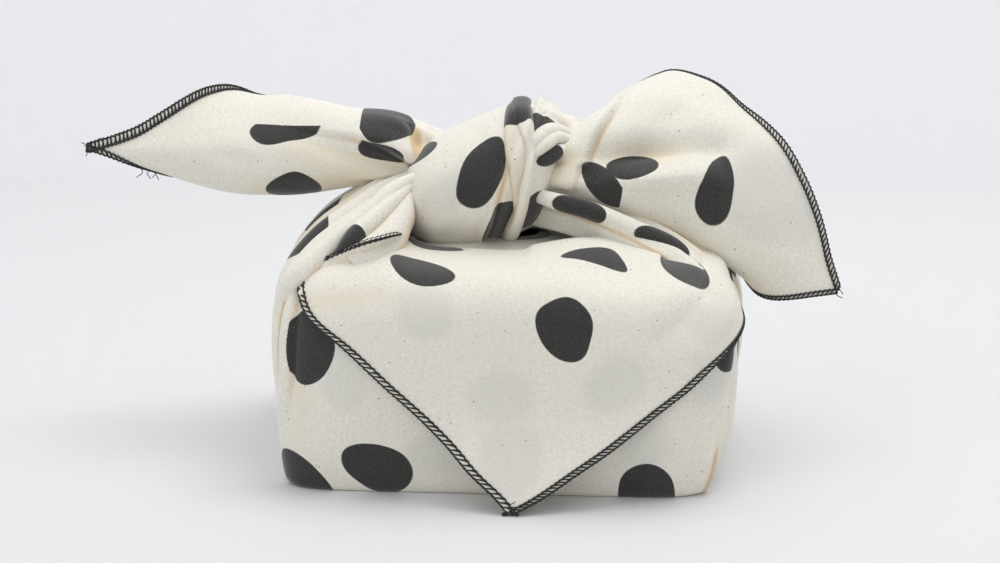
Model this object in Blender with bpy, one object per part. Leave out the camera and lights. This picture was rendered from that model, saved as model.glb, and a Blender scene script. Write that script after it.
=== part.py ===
"""Furoshiki wrap: one square cotton cloth, folded round a squarish parcel and tied in a square knot on top.

Metres, +Z up. The origin is the middle of the flat base, the front faces -Y and +X is to the right of it.
The wrap is one piece of cloth, so it is one solid. Its folds are lofted from the short tables below, in
millimetres, and joined with exact Boolean unions.
"""

import math

import bmesh
import bpy
import numpy as np

MM = 0.001
NAME = "wrap_cloth"
SHEET = 2.0
BURIED = 3.5
WELD = 0.02

PARCEL_HEIGHT = 94.0
HALF_WIDTH = 100.0
HALF_DEPTH = 82.0
RING_POINTS = 52
RING_SAMPLES = 720
BODY_ROWS = 21
TABLE_STEPS = 8

# Wrapped body, from the base up: height, reach to each side, and how square the plan is.
BODY_COLUMNS = ("height", "left", "right", "front", "back", "square")
BODY = (
    (0.0, 0.915, 0.89, 0.90, 0.90, 10.0),
    (1.2, 0.935, 0.92, 0.93, 0.93, 10.0),
    (6.0, 0.955, 0.95, 0.95, 0.95, 9.0),
    (22.0, 0.975, 1.0, 0.975, 0.97, 7.5),
    (48.0, 0.97, 1.01, 0.995, 1.0, 6.5),
    (72.0, 0.955, 1.005, 0.985, 1.0, 5.6),
    (84.0, 0.925, 0.975, 0.95, 0.97, 4.8),
    (91.5, 0.87, 0.93, 0.86, 0.88, 4.2),
    (95.0, 0.73, 0.80, 0.72, 0.74, 4.0),
    (97.0, 0.48, 0.54, 0.48, 0.48, 3.4),
    (99.0, 0.14, 0.15, 0.14, 0.14, 2.0),
)

# Main creases of the wrapped body: both ends (distance from the middle line along the surface, height), how
# high the ridge stands, or how deep the trough is, and its half width.
CREASE_COLUMNS = ("start", "low", "end", "high", "rise", "half_width")
CREASES = (
    (-96.0, 34.0, -91.0, 86.0, 2.2, 4.0),
    (-103.0, 44.0, -98.0, 84.0, -2.6, 4.0),
    (101.0, 6.0, 112.0, 58.0, -2.8, 5.0),
    (92.0, 4.0, 104.0, 60.0, 1.6, 5.0),
    (-190.0, 8.0, -176.0, 60.0, -2.4, 5.0),
    (196.0, 8.0, 182.0, 60.0, -2.4, 5.0),
    (70.0, 72.0, 96.0, 90.0, -1.4, 5.0),
    (84.0, 66.0, 110.0, 84.0, 1.2, 5.0),
)

# Front flap, from its tip up: height on the body, distance of each edge from the body's middle line along
# its surface, and how far the flap stands off the body.
FLAP_COLUMNS = ("height", "left", "right", "stand")
FLAP = (
    (0.6, -7.4, 9.2, 27.0),
    (7.0, -1.0, 22.0, 22.0),
    (16.0, 10.0, 36.0, 16.0),
    (26.0, 20.0, 51.0, 10.0),
    (38.0, 33.0, 66.5, 5.0),
    (50.0, 47.0, 82.0, 2.6),
    (66.0, 64.5, 101.0, 2.2),
    (78.0, 79.0, 121.0, 2.2),
    (88.0, 88.0, 140.0, 2.2),
    (93.0, 84.0, 130.0, 2.2),
    (95.6, 72.0, 100.0, 2.2),
    (97.2, 46.0, 60.0, 2.2),
)
FLAP_ROWS = 24
FLAP_STEPS = 16
FREE_STAND = 3.0

# Gathered sides, from low on the parcel's side up over its edge to the knot: place of the crest, front and
# back edge, height of the crown between them, height of the pleats, and how deep the fold is backed.
STRAP_COLUMNS = ("x", "z", "front", "back", "crown", "pleat", "backing")
LEFT_STRAP = (
    (-91.5, 10.0, -66.0, 66.0, 3.0, 0.5, 14.0),
    (-92.5, 38.0, -69.0, 68.0, 4.0, 2.5, 14.0),
    (-92.5, 64.0, -68.0, 65.0, 4.6, 4.0, 14.0),
    (-89.0, 83.0, -62.0, 57.0, 5.5, 5.0, 16.0),
    (-78.0, 97.0, -51.0, 46.0, 6.0, 5.5, 20.0),
    (-64.0, 106.0, -38.0, 36.0, 7.0, 5.5, 24.0),
    (-50.0, 113.5, -27.0, 28.0, 8.5, 5.0, 28.0),
    (-36.0, 118.0, -20.0, 22.0, 9.0, 4.0, 30.0),
    (-16.0, 120.0, -14.0, 16.0, 7.0, 3.0, 26.0),
)
RIGHT_STRAP = (
    (93.5, 10.0, -64.0, 66.0, 3.0, 0.5, 14.0),
    (97.5, 38.0, -66.0, 69.0, 4.0, 2.5, 14.0),
    (98.5, 61.0, -64.0, 67.0, 4.8, 4.0, 14.0),
    (94.5, 77.0, -58.0, 59.0, 5.5, 4.8, 16.0),
    (84.0, 88.0, -52.0, 48.0, 6.0, 5.0, 18.0),
    (70.0, 96.5, -42.0, 40.0, 6.5, 5.0, 20.0),
    (52.0, 103.5, -33.0, 32.0, 7.0, 4.5, 24.0),
    (32.0, 109.0, -25.0, 24.0, 8.0, 3.5, 26.0),
    (16.0, 111.5, -18.0, 18.0, 8.0, 3.0, 24.0),
    (0.0, 113.0, -10.0, 12.0, 7.0, 2.0, 24.0),
)
STRAP_FOLDS = (0.0, 0.13, 0.3, 0.44, 0.6, 0.78, 0.9, 1.0)
STRAP_ROWS = 15
STRAP_STEPS = 29
CROWN_EDGE = 0.02

# Knot, ring by ring along its own axis: place, middle of the ring, its two half sizes, and how far the ring
# leans along the axis at its top.
KNOT_COLUMNS = ("along", "mid_y", "mid_z", "half_y", "half_z", "lean")
KNOT_BAND = (
    (-42.5, -3.0, 117.0, 14.0, 12.0, 0.0),
    (-42.5, -3.0, 117.0, 20.0, 17.0, 1.0),
    (-37.0, -4.0, 119.0, 26.0, 22.5, 4.0),
    (-24.0, -5.0, 122.0, 31.5, 28.5, 9.0),
    (-9.0, -5.0, 126.0, 33.0, 32.5, 13.0),
    (-1.0, -4.0, 127.0, 30.5, 31.0, 13.0),
    (3.0, -3.0, 127.5, 31.5, 32.0, 12.0),
    (8.0, -2.0, 127.5, 28.0, 29.5, 10.0),
    (12.0, -2.0, 127.5, 29.0, 29.0, 8.0),
    (19.0, -1.0, 126.5, 23.0, 24.0, 6.0),
    (21.0, -1.0, 126.5, 15.0, 18.0, 5.0),
)
KNOT_LOOP = (
    (6.0, 14.0, 126.0, 20.0, 22.0, 2.0),
    (9.0, 14.0, 127.0, 25.0, 27.0, 2.0),
    (17.0, 13.0, 128.0, 25.5, 27.0, 3.0),
    (21.0, 12.0, 127.0, 22.0, 24.0, 3.0),
    (26.0, 11.0, 127.0, 22.0, 22.5, 4.0),
    (31.0, 10.0, 126.0, 17.0, 17.0, 4.0),
    (33.0, 10.0, 126.0, 11.0, 11.0, 4.0),
)
KNOT_POINTS = 28
KNOT_ROWS = 22

# Free corners (ears), from the tip to the knot: middle of the sheet, direction of the sheet's upper half
# (degrees above level, seen along the ear), length and turn of the upper and lower halves, height of the
# pleats, and the thickness of the folded cloth.
EAR_COLUMNS = ("x", "y", "z", "face", "up", "up_turn", "low", "low_turn", "pleat", "thick")
LEFT_EAR = (
    (-188.6, -6.0, 136.3, 60.0, 1.5, 0.0, 1.5, 0.0, 0.0, 2.0),
    (-176.0, -5.5, 136.5, 60.0, 6.8, 0.0, 8.4, 130.0, 0.0, 2.0),
    (-162.0, -5.0, 137.0, 58.0, 12.5, 0.0, 21.0, 150.0, 0.0, 2.0),
    (-146.0, -5.0, 138.0, 56.0, 22.5, 6.0, 32.0, 150.0, 0.5, 2.0),
    (-121.0, -6.0, 137.6, 54.0, 50.0, 66.0, 41.5, 150.0, 1.0, 2.2),
    (-106.0, -7.0, 137.6, 56.0, 56.0, 84.0, 43.0, 155.0, 1.6, 2.6),
    (-91.0, -8.0, 138.2, 62.0, 60.0, 116.0, 44.0, 158.0, 2.2, 3.2),
    (-72.0, -10.0, 138.4, 68.0, 55.0, 148.0, 42.0, 160.0, 2.6, 4.4),
    (-54.0, -10.0, 138.0, 72.0, 48.0, 150.0, 40.0, 155.0, 3.0, 6.0),
    (-38.0, -10.0, 134.0, 74.0, 36.0, 150.0, 36.0, 150.0, 3.0, 7.0),
    (-18.0, -10.0, 130.0, 74.0, 26.0, 140.0, 28.0, 140.0, 2.0, 7.0),
)
RIGHT_EAR = (
    (147.3, -22.0, 79.7, 72.0, 2.0, 0.0, 2.0, 0.0, 0.0, 2.0),
    (137.3, -22.0, 86.0, 73.0, 12.0, 2.0, 12.0, 15.0, 0.0, 2.0),
    (124.2, -22.0, 94.3, 75.0, 27.0, 10.0, 27.0, 70.0, 0.0, 2.0),
    (109.0, -22.0, 102.4, 78.0, 43.0, 26.0, 38.0, 125.0, 0.5, 2.0),
    (91.5, -22.5, 110.3, 80.0, 62.0, 60.0, 42.0, 150.0, 1.0, 2.2),
    (73.9, -23.0, 117.2, 82.0, 81.6, 82.0, 42.0, 155.0, 1.6, 2.6),
    (55.5, -23.0, 122.3, 84.0, 83.5, 98.0, 40.0, 155.0, 2.2, 3.4),
    (37.9, -22.0, 126.5, 84.0, 68.0, 118.0, 34.0, 155.0, 2.6, 4.6),
    (22.0, -19.0, 129.0, 82.0, 42.0, 140.0, 28.0, 150.0, 2.6, 6.0),
    (4.0, -14.0, 129.0, 78.0, 28.0, 140.0, 22.0, 140.0, 2.0, 7.0),
)
EAR_FOLDS = 3.5
EAR_ROWS = 17
EAR_STEPS = 24

CALICO = (0.80, 0.75, 0.66, 1.0)
CALICO_ROUGHNESS = 0.9


def through(rows, count):
    """Rows read at even steps from a smooth curve through the given ones."""
    rows = np.array(rows, float)
    ends = (2 * rows[0] - rows[1], 2 * rows[-1] - rows[-2])
    padded = np.vstack([ends[0], rows, ends[1]])
    place = np.linspace(0, len(rows) - 1, count)
    first = np.minimum(place.astype(int), len(rows) - 2)
    step = (place - first)[:, None]
    before, here, after, beyond = (padded[first + k] for k in range(4))
    slope = after - before
    bend = 2 * before - 5 * here + 4 * after - beyond
    twist = 3 * here - before - 3 * after + beyond
    return 0.5 * (2 * here + slope * step + bend * step**2 + twist * step**3)


def named(columns, rows, count):
    """One array for each column of a table, smoothed to the given number of rows."""
    return dict(zip(columns, through(rows, count).T))


def plan_ring(row):
    """Outline of the body at one height and the distance of its points from the front middle, left negative."""
    angle = np.linspace(-1.5 * math.pi, 0.5 * math.pi, RING_SAMPLES + 1)
    cos, sin = np.cos(angle), np.sin(angle)
    half_x = np.where(cos > 0, row["right"], row["left"]) * HALF_WIDTH
    half_y = np.where(sin > 0, row["back"], row["front"]) * HALF_DEPTH
    x = half_x * np.sign(cos) * np.abs(cos) ** (2 / row["square"])
    y = half_y * np.sign(sin) * np.abs(sin) ** (2 / row["square"])
    along = np.concatenate([[0.0], np.cumsum(np.hypot(np.diff(x), np.diff(y)))])
    return x, y, along - np.interp(-0.5 * math.pi, angle, along)


def body_row(height):
    """The body's columns at one height, read from a smooth curve through its table."""
    table = through(BODY, TABLE_STEPS * (len(BODY) - 1) + 1)
    return {name: np.interp(height, table[:, 0], table[:, k]) for k, name in enumerate(BODY_COLUMNS)}


def creases(distance, height):
    """Rise of the body's surface by its creases at distances along the surface, at one height."""
    rise = np.zeros_like(distance)
    for row in CREASES:
        crease = dict(zip(CREASE_COLUMNS, row))
        run = np.array([crease["end"] - crease["start"], crease["high"] - crease["low"]])
        across, up = distance - crease["start"], height - crease["low"]
        share = np.clip((across * run[0] + up * run[1]) / (run @ run), 0.0, 1.0)
        away = np.hypot(across - share * run[0], up - share * run[1])
        rise += crease["rise"] * np.exp(-((away / crease["half_width"]) ** 2))
    return rise


def body_slope(height):
    """Angle of the body's front above level, outwards, which grows over the rounded top edge."""
    if height < PARCEL_HEIGHT / 2:
        return 0.0
    above = body_row(min(height + 0.5, BODY[-1][0]))["front"]
    below = body_row(height - 0.5)["front"]
    return math.atan2((below - above) * HALF_DEPTH, 1.0)


def on_body(distance, height, off):
    """Points at distances along the body's surface from its front middle, standing off it by `off`."""
    x, y, along = plan_ring(body_row(height))
    spot, ahead, behind = (
        np.stack([np.interp(distance + shift, along, x), np.interp(distance + shift, along, y)], axis=1)
        for shift in (0.0, 1.0, -1.0)
    )
    across = ahead - behind
    across /= np.hypot(*across.T)[:, None]
    out = np.stack([across[:, 1], -across[:, 0]], axis=1)
    slope = body_slope(height)
    lift = off + creases(distance, height)
    flat = spot + out * lift[:, None] * math.cos(slope)
    return np.column_stack([flat, height + lift * math.sin(slope)])


def mesh_object(name, points, faces):
    """A mesh object of the given points in millimetres, with its faces turned outwards."""
    mesh = bpy.data.meshes.new(name)
    mesh.from_pydata([tuple(point) for point in np.asarray(points) * MM], [], faces)
    work = bmesh.new()
    work.from_mesh(mesh)
    bmesh.ops.remove_doubles(work, verts=work.verts, dist=WELD * MM)
    bmesh.ops.recalc_face_normals(work, faces=work.faces)
    bmesh.ops.triangulate(work, faces=work.faces)
    work.to_mesh(mesh)
    work.free()
    return bpy.data.objects.new(name, mesh)


def loft(name, rings):
    """A closed body through closed rings of equal point counts, with fan caps."""
    count, size = len(rings), len(rings[0])
    points = [point for ring in rings for point in ring]
    points += [np.mean(rings[0], axis=0), np.mean(rings[-1], axis=0)]
    faces = []
    for k in range(count - 1):
        for i in range(size):
            nxt = (i + 1) % size
            faces.append((k * size + i, k * size + nxt, (k + 1) * size + nxt, (k + 1) * size + i))
    for i in range(size):
        nxt = (i + 1) % size
        faces.append((count * size, nxt, i))
        faces.append((count * size + 1, (count - 1) * size + i, (count - 1) * size + nxt))
    return mesh_object(name, points, faces)


def slab(name, outer, inner):
    """A closed body between two grids of points, an outer and an inner face."""
    rows, steps = len(outer), len(outer[0])
    grid = rows * steps
    points = np.vstack([np.reshape(outer, (-1, 3)), np.reshape(inner, (-1, 3))])
    faces = []
    for r in range(rows - 1):
        for s in range(steps - 1):
            a, b = r * steps + s, r * steps + s + 1
            c, d = (r + 1) * steps + s + 1, (r + 1) * steps + s
            faces += [(a, b, c, d), (grid + d, grid + c, grid + b, grid + a)]
    rim = list(range(steps))
    rim += [r * steps + steps - 1 for r in range(1, rows)]
    rim += [(rows - 1) * steps + s for s in range(steps - 2, -1, -1)]
    rim += [r * steps for r in range(rows - 2, 0, -1)]
    for here, nxt in zip(rim, rim[1:] + rim[:1]):
        faces.append((here, grid + here, grid + nxt, nxt))
    return mesh_object(name, points, faces)


def ridges(across, troughs):
    """Height of uneven rounded folds between the given troughs, from 0 in a trough to about 1 on a ridge."""
    troughs = np.array(troughs)
    first = np.clip(np.searchsorted(troughs, across, side="right") - 1, 0, len(troughs) - 2)
    width = troughs[first + 1] - troughs[first]
    share = (across - troughs[first]) / width
    return np.sin(math.pi * share) * np.sqrt(width / np.diff(troughs).max())


def parcel_body():
    heights = np.maximum(through([(row[0],) for row in BODY], BODY_ROWS)[:, 0], 0.0)
    rings = []
    for height in heights:
        along = plan_ring(body_row(height))[2]
        rings.append(on_body(np.linspace(along[0], along[-1], RING_POINTS + 1)[:-1], height, 0.0))
    return loft("parcel_body", rings)


def front_flap():
    table = named(FLAP_COLUMNS, FLAP, FLAP_ROWS)
    outer, inner = [], []
    for k in range(FLAP_ROWS):
        height, stand = table["height"][k], table["stand"][k]
        places = np.linspace(-table["left"][k], table["right"][k], FLAP_STEPS)
        deep = stand - SHEET if stand > FREE_STAND else -BURIED
        outer.append(on_body(places, height, stand))
        inner.append(on_body(places, height, deep))
    return slab("front_flap", outer, inner)


def gathered_side(name, rows):
    table = named(STRAP_COLUMNS, rows, STRAP_ROWS)
    path = np.stack([table["x"], table["z"]], axis=1)
    along = np.gradient(path, axis=0)
    along /= np.hypot(*along.T)[:, None]
    side = math.copysign(1.0, rows[0][0])
    out = np.stack([side * along[:, 1], -side * along[:, 0]], axis=1)
    across = np.linspace(0.0, 1.0, STRAP_STEPS)
    crown = np.sqrt(np.sin(math.pi * np.clip(across, CROWN_EDGE, 1.0 - CROWN_EDGE)))
    folds = ridges(across, STRAP_FOLDS)
    outer, inner = [], []
    for k in range(STRAP_ROWS):
        raised = table["crown"][k] * crown + table["pleat"][k] * folds
        spread = table["front"][k] + (table["back"][k] - table["front"][k]) * across
        crest = path[k] + out[k] * raised[:, None]
        low = path[k] - out[k] * table["backing"][k] * np.ones((STRAP_STEPS, 1))
        outer.append(np.column_stack([crest[:, 0], spread, crest[:, 1]]))
        inner.append(np.column_stack([low[:, 0], spread, low[:, 1]]))
    return slab(name, outer, inner)


def knot_ring(name, rows):
    table = named(KNOT_COLUMNS, rows, KNOT_ROWS)
    angle = np.linspace(0, 2 * math.pi, KNOT_POINTS + 1)[:-1]
    rings = []
    for k in range(KNOT_ROWS):
        x = table["along"][k] + table["lean"][k] * np.sin(angle)
        y = table["mid_y"][k] + table["half_y"][k] * np.cos(angle)
        z = table["mid_z"][k] + table["half_z"][k] * np.sin(angle)
        rings.append(np.stack([x, y, z], axis=1))
    return loft(name, rings)


def half_section(length, turn, direction, steps):
    """Offsets along a half section of the sheet that starts at the middle and curls by `turn` in all."""
    place = np.linspace(0.0, 1.0, steps)
    angle = direction + turn * place
    step = length / (steps - 1)
    run = np.concatenate([[0.0], np.cumsum(np.cos((angle[1:] + angle[:-1]) / 2)) * step])
    rise = np.concatenate([[0.0], np.cumsum(np.sin((angle[1:] + angle[:-1]) / 2)) * step])
    return run, rise, angle


def free_corner(name, rows):
    table = named(EAR_COLUMNS, rows, EAR_ROWS)
    middle = np.stack([table["x"], table["y"], table["z"]], axis=1)
    along = np.gradient(middle, axis=0)
    along /= np.linalg.norm(along, axis=1)[:, None]
    steps = EAR_STEPS // 2
    outer, inner = [], []
    for k in range(EAR_ROWS):
        back = np.cross(along[k], (0.0, 0.0, 1.0))
        back *= math.copysign(1.0, back[1]) / np.linalg.norm(back)
        lift = np.cross(back, along[k])
        lift *= math.copysign(1.0, lift[2])
        face = math.radians(table["face"][k])
        up = half_section(table["up"][k], -math.radians(table["up_turn"][k]), face, steps)
        low = half_section(table["low"][k], math.radians(table["low_turn"][k]), face + math.pi, steps)
        run = np.concatenate([low[0][::-1], up[0][1:]])
        rise = np.concatenate([low[1][::-1], up[1][1:]])
        angle = np.concatenate([low[2][::-1] - math.pi, up[2][1:]])
        share = np.linspace(-1.0, 1.0, len(run))
        wave = table["pleat"][k] * np.cos(share * EAR_FOLDS * math.pi) ** 2
        normal = np.stack([-np.sin(angle), np.cos(angle)], axis=1)
        flat = np.stack([run, rise], axis=1)
        face_out = flat + normal * wave[:, None]
        face_in = flat - normal * table["thick"][k]
        outer.append([middle[k] + back * u + lift * v for u, v in face_out])
        inner.append([middle[k] + back * u + lift * v for u, v in face_in])
    return slab(name, outer, inner)


def clear_scene():
    for found in list(bpy.data.objects):
        bpy.data.objects.remove(found, do_unlink=True)


def calico():
    material = bpy.data.materials.new("calico")
    material.use_nodes = True
    shader = material.node_tree.nodes["Principled BSDF"]
    shader.inputs["Base Color"].default_value = CALICO
    shader.inputs["Roughness"].default_value = CALICO_ROUGHNESS
    shader.inputs["Metallic"].default_value = 0.0
    return material


def collection(name):
    made = bpy.data.collections.new(name)
    bpy.context.scene.collection.children.link(made)
    return made


def join(cloth, fold, helpers):
    """Adds a fold to the cloth with a Boolean union; the fold itself stays as a hidden helper."""
    helpers.objects.link(fold)
    fold.hide_render = True
    fold.display_type = "WIRE"
    union = cloth.modifiers.new(fold.name, "BOOLEAN")
    union.operation = "UNION"
    union.object = fold


def main():
    clear_scene()
    cloth = parcel_body()
    cloth.name = NAME
    cloth.data.materials.append(calico())
    collection("furoshiki_wrap").objects.link(cloth)
    helpers = collection("folds")
    join(cloth, front_flap(), helpers)
    join(cloth, gathered_side("left_side", LEFT_STRAP), helpers)
    join(cloth, gathered_side("right_side", RIGHT_STRAP), helpers)
    join(cloth, knot_ring("knot_band", KNOT_BAND), helpers)
    join(cloth, knot_ring("knot_loop", KNOT_LOOP), helpers)
    join(cloth, free_corner("left_corner", LEFT_EAR), helpers)
    join(cloth, free_corner("right_corner", RIGHT_EAR), helpers)


main()
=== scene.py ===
"""Looks of the furoshiki wrap: thin sheets of cloth on the solid's folds, with printed spots and overlock.

The tables and the functions that read them are in millimetres and repeat the solid's. The front faces -Y.
"""

import math

import bpy
import numpy as np
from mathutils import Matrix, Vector


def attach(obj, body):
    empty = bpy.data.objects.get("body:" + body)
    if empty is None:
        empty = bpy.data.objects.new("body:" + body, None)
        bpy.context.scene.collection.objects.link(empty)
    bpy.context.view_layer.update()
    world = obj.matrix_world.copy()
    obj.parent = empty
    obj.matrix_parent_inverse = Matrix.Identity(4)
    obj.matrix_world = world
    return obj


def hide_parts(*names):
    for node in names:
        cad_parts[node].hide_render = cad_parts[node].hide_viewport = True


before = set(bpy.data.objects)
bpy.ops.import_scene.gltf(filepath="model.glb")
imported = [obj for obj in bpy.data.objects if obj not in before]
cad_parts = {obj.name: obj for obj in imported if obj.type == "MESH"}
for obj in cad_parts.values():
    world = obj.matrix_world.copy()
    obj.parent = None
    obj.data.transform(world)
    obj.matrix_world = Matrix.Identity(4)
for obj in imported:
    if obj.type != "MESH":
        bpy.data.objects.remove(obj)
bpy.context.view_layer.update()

MM = 0.001
NODE = "wrap_cloth"
FLAT = "flat_cloth"
CLOTH = 0.7

# Camera: place and direction in metres, at the photograph's angle.
CAMERA_PLACE = (0.0693, -1.0353, 0.3342)
CAMERA_TURN = 4.0
CAMERA_DROP = 14.0
LENS = 85.0
SENSOR_WIDTH = 36.0

PARCEL_HEIGHT = 94.0
HALF_WIDTH = 100.0
HALF_DEPTH = 82.0
RING_SAMPLES = 720

# Wrapped body, from the base up: height, reach to each side, and how square the plan is.
BODY_COLUMNS = ("height", "left", "right", "front", "back", "square")
BODY = (
    (0, 0.915, 0.89, 0.90, 0.90, 10),
    (1.2, 0.935, 0.92, 0.93, 0.93, 10),
    (6, 0.955, 0.95, 0.95, 0.95, 9),
    (22, 0.975, 1, 0.975, 0.97, 7.5),
    (48, 0.97, 1.01, 0.995, 1, 6.5),
    (72, 0.955, 1.005, 0.985, 1, 5.6),
    (84, 0.925, 0.975, 0.95, 0.97, 4.8),
    (91.5, 0.87, 0.93, 0.86, 0.88, 4.2),
    (95, 0.73, 0.80, 0.72, 0.74, 4),
    (97, 0.48, 0.54, 0.48, 0.48, 3.4),
    (99, 0.14, 0.15, 0.14, 0.14, 2),
)

# Main creases of the solid's body: both ends (distance from the middle line along the surface, height), rise
# and half width.
CREASES = (
    (-96, 34, -91, 86, 2.2, 4),
    (-103, 44, -98, 84, -2.6, 4),
    (101, 6, 112, 58, -2.8, 5),
    (92, 4, 104, 60, 1.6, 5),
    (-190, 8, -176, 60, -2.4, 5),
    (196, 8, 182, 60, -2.4, 5),
    (70, 72, 96, 90, -1.4, 5),
    (84, 66, 110, 84, 1.2, 5),
)

# Front flap, from its tip up: height on the body, distance of each edge from the body's middle line along
# its surface, and how far the flap stands off the body.
FLAP_COLUMNS = ("height", "left", "right", "stand")
FLAP = (
    (0.6, -7.4, 9.2, 27),
    (7, -1, 22, 22),
    (16, 10, 36, 16),
    (26, 20, 51, 10),
    (38, 33, 66.5, 5),
    (50, 47, 82, 2.6),
    (66, 64.5, 101, 2.2),
    (78, 81, 136, 2.2),
    (88, 88, 155, 2.2),
    (93, 88, 155, 2.2),
    (95.6, 76, 150, 2.2),
    (97.2, 46, 120, 2.2),
)

# Gathered sides, from low on the parcel's side up over its edge to the knot.
STRAP_COLUMNS = ("x", "z", "front", "back", "crown", "pleat")
LEFT_STRAP = (
    (-91.5, 10, -66, 66, 3, 0.5),
    (-92.5, 38, -69, 68, 4, 2.5),
    (-92.5, 64, -68, 65, 4.6, 4),
    (-89, 83, -62, 57, 5.5, 5),
    (-78, 97, -51, 46, 6, 5.5),
    (-64, 106, -38, 36, 7, 5.5),
    (-50, 113.5, -27, 28, 8.5, 5),
    (-36, 118, -20, 22, 9, 4),
    (-16, 120, -14, 16, 7, 3),
)
RIGHT_STRAP = (
    (93.5, 10, -44, 66, 3, 0.5),
    (97.5, 38, -45, 69, 4, 2.5),
    (98.5, 61, -45, 67, 4.8, 4),
    (94.5, 77, -50, 59, 5.5, 4.8),
    (84, 88, -52, 48, 6, 5),
    (70, 96.5, -42, 40, 6.5, 5),
    (52, 103.5, -33, 32, 7, 4.5),
    (32, 109, -25, 24, 8, 3.5),
    (16, 111.5, -18, 18, 8, 3),
    (0, 113, -10, 12, 7, 2),
)
STRAP_FOLDS = (0.0, 0.13, 0.3, 0.44, 0.6, 0.78, 0.9, 1.0)

# Knot, ring by ring along its own axis.
KNOT_COLUMNS = ("along", "mid_y", "mid_z", "half_y", "half_z", "lean")
KNOT_BAND = (
    (-42.5, -3, 117, 14, 12, 0),
    (-42.5, -3, 117, 20, 17, 1),
    (-37, -4, 119, 26, 22.5, 4),
    (-24, -5, 122, 31.5, 28.5, 9),
    (-9, -5, 126, 33, 32.5, 13),
    (-1, -4, 127, 30.5, 31, 13),
    (3, -3, 127.5, 31.5, 32, 12),
    (8, -2, 127.5, 28, 29.5, 10),
    (12, -2, 127.5, 29, 29, 8),
    (19, -1, 126.5, 23, 24, 6),
    (21, -1, 126.5, 15, 18, 5),
)
KNOT_LOOP = (
    (6, 14, 126, 20, 22, 2),
    (9, 14, 127, 25, 27, 2),
    (17, 13, 128, 25.5, 27, 3),
    (21, 12, 127, 22, 24, 3),
    (26, 11, 127, 22, 22.5, 4),
    (31, 10, 126, 17, 17, 4),
    (33, 10, 126, 11, 11, 4),
)

# Free corners, from the tip to the knot.
EAR_COLUMNS = ("x", "y", "z", "face", "up", "up_turn", "low", "low_turn", "pleat")
LEFT_EAR = (
    (-188.6, -6, 136.3, 60, 1.5, 0, 1.5, 0, 0),
    (-176, -5.5, 136.5, 60, 5.2, 0, 6.4, 70, 0),
    (-162, -5, 137, 58, 11, 0, 16, 112, 0),
    (-146, -5, 138, 56, 22.5, 6, 33, 154, 0.5),
    (-121, -6, 138.2, 54, 51, 74, 41.5, 150, 1),
    (-106, -7, 137.6, 56, 66, 98, 43, 155, 1.6),
    (-91, -8, 138.2, 62, 60, 116, 44, 158, 2.2),
    (-72, -10, 138.4, 68, 55, 148, 42, 160, 2.6),
    (-54, -10, 138, 72, 48, 150, 40, 155, 3),
    (-38, -10, 134, 74, 36, 150, 36, 150, 3),
    (-18, -10, 130, 74, 26, 140, 28, 140, 2),
)
RIGHT_EAR = (
    (147.3, -22, 79.7, 72, 2, 0, 2, 0, 0),
    (137.3, -22, 86, 73, 12, 2, 12, 15, 0),
    (124.2, -22, 94.3, 75, 27, 10, 27.6, 84, 0),
    (109, -22, 102.4, 78, 43, 26, 40, 148, 0.5),
    (91.5, -22.5, 110.3, 80, 62, 60, 43, 162, 1),
    (73.9, -23, 117.2, 82, 81.6, 82, 42, 155, 1.6),
    (55.5, -23, 122.3, 84, 86, 98, 40, 155, 2.2),
    (37.9, -22, 126.5, 84, 72, 116, 34, 155, 2.6),
    (22, -19, 129, 82, 42, 140, 28, 150, 2.6),
    (4, -14, 129, 78, 28, 140, 22, 140, 2),
)

# Soft folds on a sheet: start, middle and end of the line (places u, v on the flat cloth), rise at each of
# them, and how far the fold spreads to the left and the right of the line, seen from its start.
FOLD_COLUMNS = ("u0", "v0", "u1", "v1", "u2", "v2", "rise0", "rise1", "rise2", "left", "right")
FOLD_STEPS = 16
# Fold width under which a trough's painted shade counts in full.
FOLD_SHADE_WIDTH = 5.0


def through(rows, count):
    """Rows read at even steps from a smooth curve through the given ones."""
    rows = np.array(rows, float)
    ends = (2 * rows[0] - rows[1], 2 * rows[-1] - rows[-2])
    padded = np.vstack([ends[0], rows, ends[1]])
    place = np.linspace(0, len(rows) - 1, count)
    first = np.minimum(place.astype(int), len(rows) - 2)
    step = (place - first)[:, None]
    before, here, after, beyond = (padded[first + k] for k in range(4))
    slope = after - before
    bend = 2 * before - 5 * here + 4 * after - beyond
    twist = 3 * here - before - 3 * after + beyond
    return 0.5 * (2 * here + slope * step + bend * step**2 + twist * step**3)


def named(columns, rows, count):
    """One array for each column of a table, smoothed to the given number of rows."""
    return dict(zip(columns, through(rows, count).T))


def distances(points):
    """Distance of each point of a line from its start, along the line."""
    return np.concatenate([[0.0], np.cumsum(np.linalg.norm(np.diff(points, axis=0), axis=1))])


def directions(points):
    """Unit direction of a line at each of its points."""
    along = np.gradient(points, axis=0)
    return along / np.maximum(np.linalg.norm(along, axis=1), 1e-9)[:, None]


def joined(table, *names):
    """Some columns of a table side by side, as points."""
    return np.stack([table[name] for name in names], axis=1)


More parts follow.
